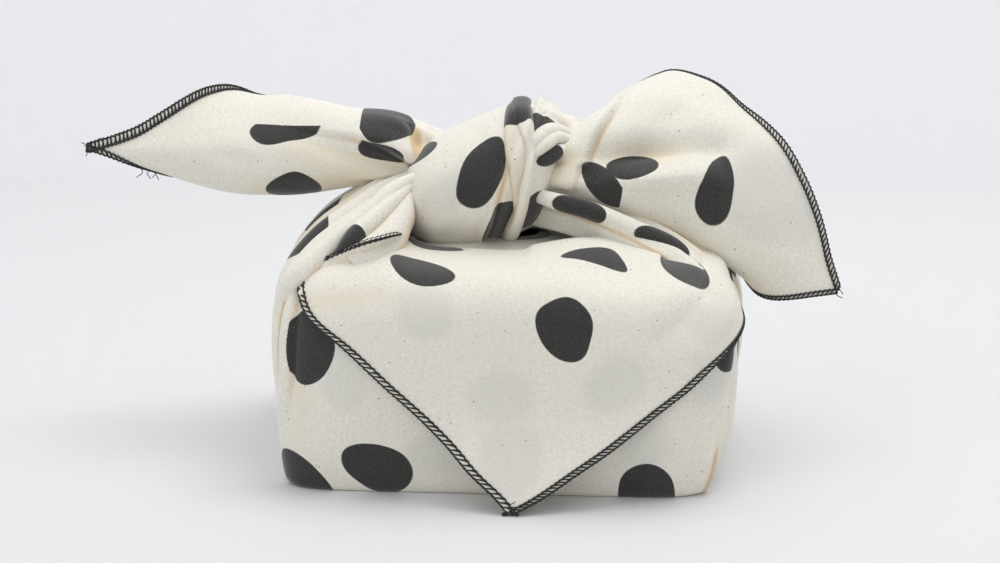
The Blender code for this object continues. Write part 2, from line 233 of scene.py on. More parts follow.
def relief(u, v, folds):
    """Height of soft folds at places u, v of the flat cloth, and the painted shade at each place, deepest in
    narrow troughs.
    """
    height = np.zeros_like(u)
    fold_shade = np.zeros_like(u)
    for fold in folds:
        row = dict(zip(FOLD_COLUMNS, fold))
        ends = np.array([[row["u0"], row["v0"]], [row["u1"], row["v1"]], [row["u2"], row["v2"]]])
        line = through(ends, FOLD_STEPS + 1)
        rise = through([[row["rise0"]], [row["rise1"]], [row["rise2"]]], FOLD_STEPS + 1)[:, 0]
        nearest = np.full(u.shape, np.inf)
        side = np.zeros_like(u)
        size = np.zeros_like(u)
        for k in range(FOLD_STEPS):
            run = line[k + 1] - line[k]
            length = max(float(run @ run), 1e-9)
            share = np.clip(((u - line[k, 0]) * run[0] + (v - line[k, 1]) * run[1]) / length, 0.0, 1.0)
            away_u = u - line[k, 0] - share * run[0]
            away_v = v - line[k, 1] - share * run[1]
            away = np.hypot(away_u, away_v)
            closer = away < nearest
            nearest = np.where(closer, away, nearest)
            side = np.where(closer, run[0] * away_v - run[1] * away_u, side)
            size = np.where(closer, rise[k] + share * (rise[k + 1] - rise[k]), size)
        width = np.where(side > 0, row["left"], row["right"])
        shape = np.exp(-((nearest / width) ** 2))
        height += size * shape
        # Painted shade: a trough darkens with its depth, more where it is narrow.
        steep = FOLD_SHADE_WIDTH / (row["left"] + row["right"])
        fold_shade += np.maximum(-size, 0.0) * shape * min(1.0, steep) ** 3
    return height, fold_shade


def plan_ring(row):
    """Outline of the body at one height, and its points' distances from the front middle, left negative."""
    angle = np.linspace(-1.5 * math.pi, 0.5 * math.pi, RING_SAMPLES + 1)
    cos, sin = np.cos(angle), np.sin(angle)
    half_x = np.where(cos > 0, row["right"], row["left"]) * HALF_WIDTH
    half_y = np.where(sin > 0, row["back"], row["front"]) * HALF_DEPTH
    x = half_x * np.sign(cos) * np.abs(cos) ** (2 / row["square"])
    y = half_y * np.sign(sin) * np.abs(sin) ** (2 / row["square"])
    along = np.concatenate([[0.0], np.cumsum(np.hypot(np.diff(x), np.diff(y)))])
    return x, y, along - np.interp(-0.5 * math.pi, angle, along)


BODY_FINENESS = 24
BODY_FINE = through(BODY, BODY_FINENESS * (len(BODY) - 1) + 1)


def body_row(height):
    """The body's columns at one height, read from a smooth curve through its table."""
    return {name: np.interp(height, BODY_FINE[:, 0], BODY_FINE[:, k]) for k, name in enumerate(BODY_COLUMNS)}


def creases(distance, height):
    """Rise of the body's surface by its creases at distances along the surface, at one height."""
    rise = np.zeros_like(distance)
    for start, low, end, high, size, half_width in CREASES:
        run = np.array([end - start, high - low])
        share = np.clip(((distance - start) * run[0] + (height - low) * run[1]) / (run @ run), 0.0, 1.0)
        away = np.hypot(distance - start - share * run[0], height - low - share * run[1])
        rise += size * np.exp(-((away / half_width) ** 2))
    return rise


def body_slope(height):
    """Angle of the body's front above level, outwards, which grows over the rounded top edge."""
    if height < PARCEL_HEIGHT / 2:
        return 0.0
    above = body_row(min(height + 0.5, BODY[-1][0]))["front"]
    below = body_row(height - 0.5)["front"]
    return math.atan2((below - above) * HALF_DEPTH, 1.0)


def on_body(distance, height, off):
    """Points at distances along the body's surface from its front middle, standing off it by `off`."""
    x, y, along = plan_ring(body_row(height))
    spot, ahead, behind = (
        np.stack([np.interp(distance + shift, along, x), np.interp(distance + shift, along, y)], axis=1)
        for shift in (0.0, 1.0, -1.0)
    )
    across = ahead - behind
    across /= np.hypot(*across.T)[:, None]
    out = np.stack([across[:, 1], -across[:, 0]], axis=1)
    slope = body_slope(height)
    lift = off + creases(distance, height)
    flat = spot + out * lift[:, None] * math.cos(slope)
    return np.column_stack([flat, height + lift * math.sin(slope)])


def ridges(across, troughs):
    """Height of uneven rounded folds between the given troughs, from 0 in a trough to about 1 on a ridge."""
    troughs = np.array(troughs)
    first = np.clip(np.searchsorted(troughs, across, side="right") - 1, 0, len(troughs) - 2)
    width = troughs[first + 1] - troughs[first]
    share = (across - troughs[first]) / width
    return np.sin(math.pi * share) * np.sqrt(width / np.diff(troughs).max())


def flat_places(grid):
    """Places of a grid's points on the flat cloth: across from the middle column, and along it."""
    middle = grid.shape[1] // 2
    across = np.linalg.norm(np.diff(grid, axis=1), axis=2)
    u = np.concatenate([np.zeros((len(grid), 1)), np.cumsum(across, axis=1)], axis=1)
    u -= u[:, middle : middle + 1]
    return u, np.repeat(distances(grid[:, middle])[:, None], grid.shape[1], axis=1)


def normals(grid):
    """Unit normals of a grid of points."""
    down = np.gradient(grid, axis=0)
    across = np.gradient(grid, axis=1)
    normal = np.cross(across, down)
    return normal / np.maximum(np.linalg.norm(normal, axis=2), 1e-9)[:, :, None]


# Waves across the flat cloth, each with its direction (degrees), length, height and start.
UNEVEN = (
    (20, 61, 0.34, 0.4),
    (75, 47, 0.28, 1.9),
    (130, 38, 0.22, 3.1),
    (165, 27, 0.14, 4.4),
    (48, 21, 0.10, 5.2),
)


def uneven(u, v, shift):
    """Slow unevenness of hand-folded cloth, different for each shift."""
    height = np.zeros_like(u)
    for direction, length, size, start in UNEVEN:
        turn = math.radians(direction)
        along = u * math.cos(turn) + v * math.sin(turn)
        height += size * np.sin(2 * math.pi * along / length + start + shift)
    return height


def mesh_piece(name, points, faces, material):
    """A smooth shaded mesh object from points in millimetres."""
    mesh = bpy.data.meshes.new(name)
    mesh.from_pydata((np.asarray(points) * MM).tolist(), [], faces)
    mesh.materials.append(material)
    mesh.shade_smooth()
    piece = bpy.data.objects.new(name, mesh)
    bpy.context.scene.collection.objects.link(piece)
    return piece


def cloth_piece(name, grid, places, fold_shade, material, closed=False):
    """A thin sheet of cloth through a grid of points. A closed one's last column repeats its first."""
    rows, steps = grid.shape[:2]
    used = steps - 1 if closed else steps
    index = np.arange(rows * used).reshape(rows, used)
    if closed:
        index = np.concatenate([index, index[:, :1]], axis=1)
    corner = np.arange(rows * steps).reshape(rows, steps)
    quads = [
        np.stack([table[:-1, :-1], table[:-1, 1:], table[1:, 1:], table[1:, :-1]], axis=2).reshape(-1, 4)
        for table in (index, corner)
    ]
    piece = mesh_piece(name, grid[:, :used].reshape(-1, 3), quads[0].tolist(), material)
    flat = np.stack(places, axis=2).reshape(-1, 2)[quads[1].reshape(-1)]
    piece.data.uv_layers.new(name=FLAT).data.foreach_set("uv", flat.astype(np.float32).reshape(-1))
    # Each point's painted fold shade, which the material turns into a warm, darker tone.
    depth = piece.data.attributes.new("fold_shade", "FLOAT", "POINT")
    depth.data.foreach_set("value", fold_shade[:, :used].astype(np.float32).reshape(-1))
    thickness = piece.modifiers.new("thickness", "SOLIDIFY")
    thickness.thickness = CLOTH * MM
    thickness.offset = 0.0
    thickness.use_even_offset = False
    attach(piece, "root")
    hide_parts(NODE)


BODY_POINTS = 321
BODY_ROWS = 94
# The front's share of the body's columns and of the way round it.
FRONT_COLUMNS = 0.66
FRONT_WAY = 0.38
BASE_SHARES = (0.04, 0.2, 0.4, 0.6, 0.8, 0.93, 0.985)
BASE_LIFT = 0.4
# The height over which folds grow from nothing at the base.
BASE_FADE = 8.0
BODY_FOLDS = (
    (-89.5, 92, -89, 62, -93.5, 26, 2.2, 2.6, 0.4, 1.5, 7),
    (-87.8, 90, -87.3, 60, -91.6, 30, -0.6, -1, -0.2, 1.4, 1.6),
    (-91, 90, -97, 85, -103, 79, -2.4, -3.6, -1.6, 1.5, 1.5),
    (112, 84, 114, 50, 112, 16, 2, 3.4, 1.5, 12, 14),
    (94, 26, 91.5, 14, 89, 2, 0.3, 1.4, 2, 5, 1.4),
    (96, 25, 93.4, 13, 91, 2, -0.1, -2.4, -4, 1.3, 1.3),
    (-60, 40, -44, 30, -20, 24, 0, 0.5, 0, 9, 9),
    (30, 8, 60, 22, 86, 44, 0, 0.6, 0, 9, 9),
    (-88, 12, -80, 34, -74, 60, 0, -0.6, 0, 7, 7),
    (150, 84, 176, 60, 192, 24, 0.6, 1.2, 0.4, 5, 3),
    (-150, 84, -172, 60, -188, 24, 0.6, 1.2, 0.4, 5, 3),
    (-262, 10, -240, 50, -214, 88, 0.2, 0.9, 1.2, 8, 8),
    (262, 10, 240, 50, 214, 88, 0.2, 0.9, 1.2, 8, 8),
)


def body_columns(height):
    """Distances of the body's columns along its surface at one height."""
    along = plan_ring(body_row(height))[2]
    ends = (along[0], along[0] * FRONT_WAY, along[-1] * FRONT_WAY, along[-1])
    side = (1.0 - FRONT_COLUMNS) / 2
    return np.interp(np.linspace(0.0, 1.0, BODY_POINTS), (0.0, side, 1.0 - side, 1.0), ends)


def body_wrap(material):
    """The cloth round the parcel, closed round its side and base and open where the knot covers it."""
    heights = np.maximum(through([(row[0],) for row in BODY], BODY_ROWS)[:, 0], 0.0)
    rows, lines, folds = [], [], []
    for share in BASE_SHARES:
        distance = body_columns(0.0)
        ring = on_body(distance, 0.0, 0.0)
        ring[:, :2] *= share
        ring[:, 2] = BASE_LIFT
        rows.append(ring)
        lines.append(distance * share)
        folds.append(np.zeros(BODY_POINTS))
    for height in heights:
        distance = body_columns(height)
        # relief also gives the painted shade of the folds' troughs.
        rise, fold_shade = relief(distance, np.full(BODY_POINTS, height), BODY_FOLDS)
        fade = min(1.0, height / BASE_FADE)
        ring = on_body(distance, height, (rise + uneven(distance, height, 0.0)) * fade - CLOTH / 2)
        ring[:, 2] = np.maximum(ring[:, 2], BASE_LIFT)
        ring[-1] = ring[0]
        rows.append(ring)
        lines.append(distance)
        folds.append(fold_shade)
    grid = np.array(rows)
    v = distances(grid[:, BODY_POINTS // 2])
    v -= v[len(BASE_SHARES)]
    places = (np.array(lines), np.repeat(v[:, None], BODY_POINTS, axis=1))
    cloth_piece("body_wrap", grid, places, np.array(folds), material, closed=True)


FLAP_ROWS = 130
FLAP_STEPS = 130
FLAP_UNEVEN = 0.6
FLAP_FOLDS = (
    (-86, 90, -64, 94, -48, 96.6, 1.2, 2.2, 3.8, 5, 8),
    (14, 97.2, 40, 97.2, 72, 96, 2, 5.5, 2, 2, 1.6),
    (-60, 70, -30, 80, 0, 84, 0, 0.5, 0, 9, 9),
    (60, 84, 84, 88, 104, 80, 0, 0.9, 0.3, 5, 6),
    (40, 94, 60, 93, 84, 90, -0.8, -1.2, -0.4, 5, 5),
    (10, 40, 34, 56, 66, 70, 0, 0.5, 0, 10, 10),
    (-30, 44, -14, 30, 0, 12, 0, -0.5, 0, 9, 9),
    (101, 62, 114, 75, 124, 86, 3, 3.8, 0.6, 14, 30),
    (66, 92, 84, 86, 98, 76, 0.4, 1.2, 0.2, 4, 7),
    (78, 93, 92, 88, 106, 80, -0.2, -0.8, -0.2, 3, 3),
    (-20, 96, 0, 92, 30, 95, 0.2, 0.9, 0.2, 4, 7),
    (-86, 78, -50, 86, -20, 78, 0, -0.7, 0, 7, 7),
)


def front_flap(material):
    """The corner of the cloth that hangs down the front to the floor."""
    table = named(FLAP_COLUMNS, FLAP, FLAP_ROWS)
    rows, folds = [], []
    for k in range(FLAP_ROWS):
        height = table["height"][k]
        places = np.linspace(-table["left"][k], table["right"][k], FLAP_STEPS)
        # relief also gives the painted shade of the folds' troughs.
        rise, fold_shade = relief(places, np.full(FLAP_STEPS, height), FLAP_FOLDS)
        off = table["stand"][k] + rise + FLAP_UNEVEN * uneven(places, height, 1.3) - CLOTH / 2
        rows.append(on_body(places, height, off))
        folds.append(fold_shade)
    grid = np.array(rows)
    v = flat_places(grid)[1]
    u = np.linspace(-table["left"], table["right"], FLAP_STEPS).T
    cloth_piece("front_flap", grid, (u, v), np.array(folds), material)
    return grid


# Where the flap's left edge climbs over the gathered side: the edge, the crest of the fold below it, how far
# the cloth goes down in front of that crest, and how deep the trough behind it is.
FLAP_TURN_COLUMNS = ("x", "y", "z", "low_x", "low_y", "low_z", "foot", "dip")
FLAP_TURN = (
    (-84, -58, 90, -84.5, -66.5, 86, 2, 0.3),
    (-79.6, -57, 95, -80, -66.5, 88.5, 3, 1),
    (-73.2, -57, 99.5, -73.5, -66.5, 90.5, 4, 2),
    (-67.6, -57.5, 102.4, -68, -66, 92.5, 5, 2.6),
    (-62, -60.5, 105.4, -61.5, -64.5, 95.2, 6.5, 2.8),
    (-55.9, -62.5, 108, -55.5, -61, 98.2, 8, 2.8),
    (-50.2, -60, 109.1, -50.5, -55.5, 101.2, 9, 2.4),
    (-46, -56, 109.4, -46.5, -49.5, 103.6, 10, 1.8),
    (-43.2, -50, 108.6, -44, -44, 104.8, 8, 1),
    (-43.8, -41, 106, -45, -38, 103, 5, 0.5),
    (-46, -33, 102, -47, -31, 100, 3, 0.5),
)
FLAP_TURN_ROWS = 110
FLAP_TURN_STEPS = 44
TROUGH_WAY = (0.25, 0.85, -0.45)
FOOT_WAY = (0.0, -0.6, -0.8)
# How strong the painted warm shade of a trough gets, for each millimetre of its depth.
TROUGH_SHADE = 0.25


def flap_turn(material):
    """The piece of the flap between its climbing left edge and the fold below it."""
    table = named(FLAP_TURN_COLUMNS, FLAP_TURN, FLAP_TURN_ROWS)
    edge = joined(table, "x", "y", "z")
    low = joined(table, "low_x", "low_y", "low_z")
    middle = (edge + low) / 2 + np.outer(table["dip"], TROUGH_WAY)
    foot = low + np.outer(table["foot"], FOOT_WAY)
    grid = [through(line, FLAP_TURN_STEPS) for line in zip(foot, low, middle, edge)]
    grid = np.array(grid)
    u, v = flat_places(grid)
    across = np.linspace(-0.5, 1.0, FLAP_TURN_STEPS)
    # Painted shade in the trough behind the crest.
    fold_shade = np.sin(math.pi * np.clip(across, 0.0, 1.0)) * table["dip"][:, None] * TROUGH_SHADE
    cloth_piece("flap_turn", grid, (u, v), fold_shade, material)
    return grid


STRAP_ROWS = 76
STRAP_STEPS = 120
STRAP_TUCK = 9.0
STRAP_TUCK_IN = 2.0
TUCK_STEPS = 6


def gathered_side(name, rows, folds, material):
    """A side of the cloth, gathered from the parcel's edge into the knot, its edges turned under."""
    table = named(STRAP_COLUMNS, rows, STRAP_ROWS)
    path = joined(table, "x", "z")
    along = directions(path)
    side = math.copysign(1.0, rows[0][0])
    out = np.stack([side * along[:, 1], -side * along[:, 0]], axis=1)
    across = np.linspace(0.0, 1.0, STRAP_STEPS)
    crown = np.sqrt(np.sin(math.pi * np.clip(across, 0.02, 0.98)))
    pleats = ridges(across, STRAP_FOLDS)
    tuck = np.linspace(1.0, 0.0, TUCK_STEPS + 1)[:-1]
    grid = []
    for k in range(STRAP_ROWS):
        raised = table["crown"][k] * crown + table["pleat"][k] * pleats
        spread = table["front"][k] + (table["back"][k] - table["front"][k]) * across
        turned_down, turned_in = STRAP_TUCK * tuck, STRAP_TUCK_IN * tuck
        raised = np.concatenate([raised[0] - turned_down, raised, raised[-1] - turned_down[::-1]])
        spread = np.concatenate([spread[0] + turned_in, spread, spread[-1] - turned_in[::-1]])
        flat = path[k] + out[k] * raised[:, None]
        grid.append(np.column_stack([flat[:, 0], spread, flat[:, 1]]))
    grid = np.array(grid)
    u, v = flat_places(grid)
    rise, fold_shade = relief(u, v, folds)
    normal = normals(grid)
    facing = np.sign((normal * np.array([side, 0.0, 1.0])).sum(axis=2).mean())
    grid = grid + normal * (facing * (rise - CLOTH / 2))[:, :, None]
    # Painted shade in the troughs between the pleats.
    pleat_shade = table["pleat"][:, None] * (1.0 - np.clip(pleats, 0.0, 1.0))[None, :] ** 4
    fold_shade[:, TUCK_STEPS:-TUCK_STEPS] += TROUGH_SHADE * pleat_shade
    cloth_piece(name, grid, (u, v), fold_shade, material)


# Rolled folds: crest of the fold, half its width, and how high the crest stands over its edges.
ROLL_COLUMNS = ("x", "y", "z", "half", "rise")
ROLL_ROWS = 60
ROLL_STEPS = 34
# How far round a rolled fold goes, and where the painted shade on its underside starts and over what turn it
# grows, in degrees from its crest.
ROLL_WRAP = 125.0
ROLL_SHADE_START = 38.0
ROLL_SHADE_FADE = 45.0
ROLLS = {
    "left_main_fold": ((-0.35, -0.8, 0.5), (
        (-93, -58, 75, 2.5, 3),
        (-93, -62, 82, 4.6, 4.6),
        (-90.2, -64, 89.5, 5.4, 6),
        (-84, -62, 97, 5, 6),
        (-75.5, -55, 104.4, 4.8, 6),
        (-66, -47, 111.8, 4.6, 6),
        (-56.8, -39, 118.8, 4.4, 6),
        (-48.5, -31, 125.5, 4, 5),
        (-40, -23, 128.5, 2.6, 4),
        (-30, -16, 128.5, 2, 3),
    )),
    "left_second_fold": ((-0.2, -0.85, 0.45), (
        (-71, -56, 99, 2.5, 3),
        (-66, -58, 104.5, 4, 4),
        (-61.5, -54, 110.5, 4.5, 5),
        (-54, -45, 116.5, 4, 5),
        (-46.5, -34, 122, 3, 4),
        (-40, -24, 125.5, 2, 3),
        (-30, -16, 126, 1.5, 2),
    )),
    "left_third_fold": ((-0.1, -0.9, 0.4), (
        (-62, -62, 98, 5, 3),
        (-55, -59, 103.5, 8, 6),
        (-49, -50, 109, 8, 8),
        (-44.5, -39, 115.5, 6, 7),
        (-41, -28, 121, 4, 5),
        (-32, -18, 122, 3, 4),
    )),
    "right_low_fold": ((0.1, -0.8, -0.2), (
        (8, -20, 120, 2, 2),
        (21, -30, 118.5, 3.4, 3),
        (39, -32, 114, 3.8, 3.6),
        (57, -34, 107, 3.8, 3.8),
        (74.5, -38, 100, 3.8, 4),
        (86, -42, 91, 3.4, 3.8),
        (93, -46, 82, 3, 3),
    )),
    "loop_outer_fold": ((0.35, -0.7, 0.6), (
        (2, -8, 159.5, 3, 3),
        (12, -13, 157.2, 3.4, 3.4),
        (17.8, -12, 155.6, 3.6, 3.6),
        (23.2, -9.5, 153, 3.6, 3.6),
        (27, -7.5, 149.5, 3.2, 3.2),
        (28.8, -6.5, 143, 2.8, 2.8),
        (28, -5, 136, 2.4, 2.4),
    )),
    "loop_inner_fold": ((0.1, -0.85, 0.4), (
        (6, -26, 140, 2, 2),
        (13.5, -28.5, 145.5, 2.6, 2.6),
        (18.2, -24.5, 149.2, 3, 3),
        (22.8, -19.5, 149.8, 3, 3),
        (28, -12, 146.5, 2.2, 2.4),
        (29.5, -6, 141, 1.6, 2),
    )),
    "loop_curl_fold": ((0.1, -0.85, 0.3), (
        (6, -28, 137.5, 1.8, 2),
        (14, -29.5, 141, 2.2, 2.2),
        (18.7, -27.3, 144.6, 2.8, 2.8),
        (23.7, -22.3, 146.6, 2.6, 2.6),
        (27.8, -16, 144.5, 2, 2.2),
        (29, -9, 140, 1.4, 2),
    )),
    "loop_low_fold": ((0.1, -0.9, 0.2), (
        (8, -28, 134, 2, 2),
        (14.2, -28.8, 136.6, 2.6, 2.6),
        (20.3, -26.3, 138.4, 3.4, 3),
        (25.4, -22, 141, 2.8, 2.8),
        (28.5, -15, 141.5, 2, 2.4),
    )),
}


def rolled_fold(name, outward, rows, material):
    """A rolled fold of the cloth, its edges turned under."""
    table = named(ROLL_COLUMNS, rows, ROLL_ROWS)
    crest = joined(table, "x", "y", "z")
    along = directions(crest)
    across = np.cross(along, outward)
    across /= np.linalg.norm(across, axis=1)[:, None]
    out = np.cross(across, along)
    angle = np.radians(np.linspace(-ROLL_WRAP, ROLL_WRAP, ROLL_STEPS))
    grid = []
    for k in range(ROLL_ROWS):
        centre = crest[k] - out[k] * table["rise"][k]
        side = table["half"][k] * np.sin(angle)
        lift = table["rise"][k] * np.cos(angle)
        grid.append(centre + across[k] * side[:, None] + out[k] * lift[:, None])
    grid = np.array(grid)
    u, v = flat_places(grid)
    # Painted shade on the roll's underside.
    roll_shade = np.clip((np.degrees(angle) - ROLL_SHADE_START) / ROLL_SHADE_FADE, 0.0, 1.0)
    cloth_piece(name, grid, (u, v), np.repeat(roll_shade[None, :], ROLL_ROWS, axis=0), material)


# Round the knot, places are degrees from the front (90 is the top) and millimetres along its axis. On the
# flat cloth a turn of one degree counts as KNOT_TURN millimetres.
KNOT_TURN = 0.53
KNOT_ROWS = 150
KNOT_POINTS = 161
KNOT_UNEVEN = 0.7
# The band's first ring, inside the knot.
BAND_INSIDE = (-34.0, -3.0, 117.0, 12.0, 10.0, 0.0)
BAND_FOLDS = (
    (10, 0.6, -4, -2.4, -34, -10.5, 0.6, 3.2, 2.6, 9, 1.4),
    (38, -7.2, 30, -6.9, 22, -6.6, 0.4, 0.9, 0.2, 0.9, 5),
    (-40, -34, -10, -26, 22, -12, 0, 1.2, 0, 6, 6),
    (8, 2.2, -4, -0.6, -34, -8.8, -0.3, -1, -1, 1.4, 1.4),
    (26, -26, 6, -32, -16, -30, 0, 0.8, 0, 5, 5),
    (-36, -14, -14, -18, 14, -30, 0, -0.6, 0, 7, 7),
)
LOOP_FOLDS = (
    (40, 30, 30, 22, 10, 14, -0.5, -1.4, -0.5, 3, 3),
)


def knot_ring(name, rows, folds, shift, material):
    """A band of the cloth that goes right round the knot."""
    table = named(KNOT_COLUMNS, rows, KNOT_ROWS)
    turn = np.linspace(-180.0, 180.0, KNOT_POINTS)
    angle = np.radians(180.0 - turn)
    along, mid_y, mid_z, half_y, half_z, lean = (table[column][:, None] for column in KNOT_COLUMNS)
    cos, sin = np.cos(angle), np.sin(angle)
    grid = np.stack([along + lean * sin, mid_y + half_y * cos, mid_z + half_z * sin], axis=2)
    u = np.repeat((turn * KNOT_TURN)[None, :], KNOT_ROWS, axis=0)
    v = grid[:, :, 0]
    # relief also gives the painted shade of the folds' troughs.
    rise, fold_shade = relief(u, v, folds)
    radial = np.stack([np.zeros(KNOT_POINTS), cos, sin], axis=1)
    grid = grid + radial * (rise + KNOT_UNEVEN * uneven(u, v, shift) - CLOTH / 2)[:, :, None]
    grid[:, -1] = grid[:, 0]
    cloth_piece(name, grid, (u, v), fold_shade, material, closed=True)


# Strips of the cloth that run round the knot over its band: turn, left and right edge, height of the crown.
STRIP_COLUMNS = ("turn", "left", "right", "crown")
STRIP_ROWS = 150
STRIP_STEPS = 44
STRIP_TUCK = 3.0
# Painted warm shade inside a strip's left edge: how strong, and how far in its middle is.
STRIP_SHADE = 0.9
STRIP_SHADE_IN = 0.5
STRIPS = {
    "knot_second_fold": (
        (130, 0, 12, 1.6),
        (95, -0.5, 12, 0.6),
        (75, -0.4, 10, 1.2),
        (60, 0, 9, 2.4),
        (46, 0.2, 10, 2.4),
        (26, 1, 12, 2.4),
        (12, 2.6, 12, 2.4),
        (0, 3.6, 11, 2.2),
        (-18, 4.4, 9.5, 1.8),
        (-32, 4.6, 8, 1),
        (-46, 4, 7, 0.2),
    ),
    "knot_third_fold": (
        (150, 0, 12, 2),
        (110, 0.4, 12, 1.6),
        (90, 0.8, 12, 1.8),
        (75, 1.6, 12.3, 2.4),
        (60, 3.4, 12.8, 4.2),
        (46, 6, 13.4, 4.2),
        (31, 9.2, 14.1, 4),
        (13, 9.2, 13.8, 4),
        (-5, 7, 12.7, 4.2),
        (-27, 4.6, 10.8, 4.2),
        (-45, 1.2, 8.8, 4),
        (-70, -2, 6, 3.4),
        (-110, -6, 3, 2.8),
    ),
}


def knot_strip(name, rows, material):
    """A strip of cloth that crosses the knot's band, its edges turned under."""
    table = named(STRIP_COLUMNS, rows, STRIP_ROWS)
    band = named(KNOT_COLUMNS, KNOT_BAND, KNOT_ROWS)
    across = np.linspace(0.0, 1.0, STRIP_STEPS)
    crown = 1.0 - np.abs(2.0 * across - 1.0) ** 5
    grid, u, v = [], [], []
    for k in range(STRIP_ROWS):
        turn = math.radians(table["turn"][k])
        place = np.maximum.accumulate(band["along"] + band["lean"] * math.sin(turn))
        x = table["left"][k] + (table["right"][k] - table["left"][k]) * across
        lift = table["crown"][k] * crown - STRIP_TUCK * (1.0 - crown)
        half_y, half_z, mid_y, mid_z = (
            np.interp(x, place, band[column]) for column in ("half_y", "half_z", "mid_y", "mid_z")
        )
        y = mid_y - (half_y + lift) * math.cos(turn)
        z = mid_z + (half_z + lift) * math.sin(turn)
        grid.append(np.stack([x, y, z], axis=1))
        u.append(np.full(STRIP_STEPS, table["turn"][k] * KNOT_TURN))
        v.append(x)
    grid, u, v = np.array(grid), np.array(u), np.array(v)
    # Painted shade along the strip's left edge.
    inside = across * (table["right"] - table["left"])[:, None]
    shade = np.exp(-((inside - STRIP_SHADE_IN) ** 2)) * STRIP_SHADE
    cloth_piece(name, grid, (u, v), shade, material)


EAR_ROWS = 140
EAR_STEPS = 145
# Pleats across a free corner: how many, where along it they are at their full height, over what reach, and
# their share of that height elsewhere.
EAR_PLEATS = 3.5
ROOT_PLACE = 162.0
ROOT_REACH = 18.0
CALM_PLEATS = 0.15
# The tip, up to this distance, has less unevenness and relief.
TIP_CALM = 30.0
# The upper hem stands up a little: how much, over what width, and where along it this starts to fade and
# over what run.
HEM_LIFT = 1.5
HEM_REACH = 3.2
HEM_CALM = 50.0
HEM_FADE = 20.0
LEFT_EAR_FOLDS = (
    (9.6, 96, 4.9, 123, -3, 150, 0.4, 2.6, 3.6, 1.6, 9),
    (2, 98, -4, 124, -9, 148, -0.8, -2.6, -3, 5, 5),
    (7.6, 96, 2.9, 122.5, -5, 149.5, -0.2, -0.8, -1.6, 1.3, 1.3),
    (24, 60, 26, 84, 24, 110, 0, 1.2, 0.2, 8, 8),
    (-4, 52, -8, 68, -14, 80, 0, -1.6, 0, 6, 6),
    (14, 143, 8, 147, 1, 150, -2, -3.4, -1.4, 2.2, 2.2),
    (16, 148, 9, 153, 2, 157, 1, 2, 1, 3, 3),
    (-8, 150, -13, 136, -17, 118, 1.4, 1.6, 0.2, 2.5, 2.5),
    (-11, 152, -17, 138, -22, 124, -1.2, -1.4, -0.2, 2.5, 2.5),
)
RIGHT_EAR_FOLDS = (
    (44, 118, 22, 123, 6.8, 125, 2, 5.6, 3.6, 1.6, 12),
    (42, 116, 20, 121, 5.4, 123.2, -0.4, -1.1, -0.6, 1.2, 1.2),
    (12, 116, 20, 98, 30, 74, -4, -8, -3, 8, 5),
    (2, 112, 8, 94, 18, 70, 2, 4.6, 1.2, 4, 6),
    (-2, 128, -5, 108, -8, 84, 1, 1.6, 0.2, 6, 6),
    (34, 40, 44, 62, 56, 84, 0, 1.2, 0, 10, 10),
    (24, 82, 34, 70, 46, 62, 0.4, -1.6, 0, 7, 7),
    (-6, 142, -2, 130, 0, 116, 2, 2.4, 0.6, 2.6, 2.6),
    (0, 146, 4, 137, 6, 128, -1.2, -1.2, -0.2, 1.8, 1.8),
    (6, 146, 10, 136, 12, 126, 1.6, 1.8, 0.3, 2.6, 2.6),
    (30, 98, 40, 92, 52, 88, 0, -1.2, 0, 5, 5),
)


def half_section(length, turn, direction, steps):
    """Offsets along a half section of the sheet that starts at the middle and curls by `turn` in all."""
    place = np.linspace(0.0, 1.0, steps)
    angle = direction + turn * place
    step = length / (steps - 1)
    run = np.concatenate([[0.0], np.cumsum(np.cos((angle[1:] + angle[:-1]) / 2)) * step])
    rise = np.concatenate([[0.0], np.cumsum(np.sin((angle[1:] + angle[:-1]) / 2)) * step])
    return run, rise, angle


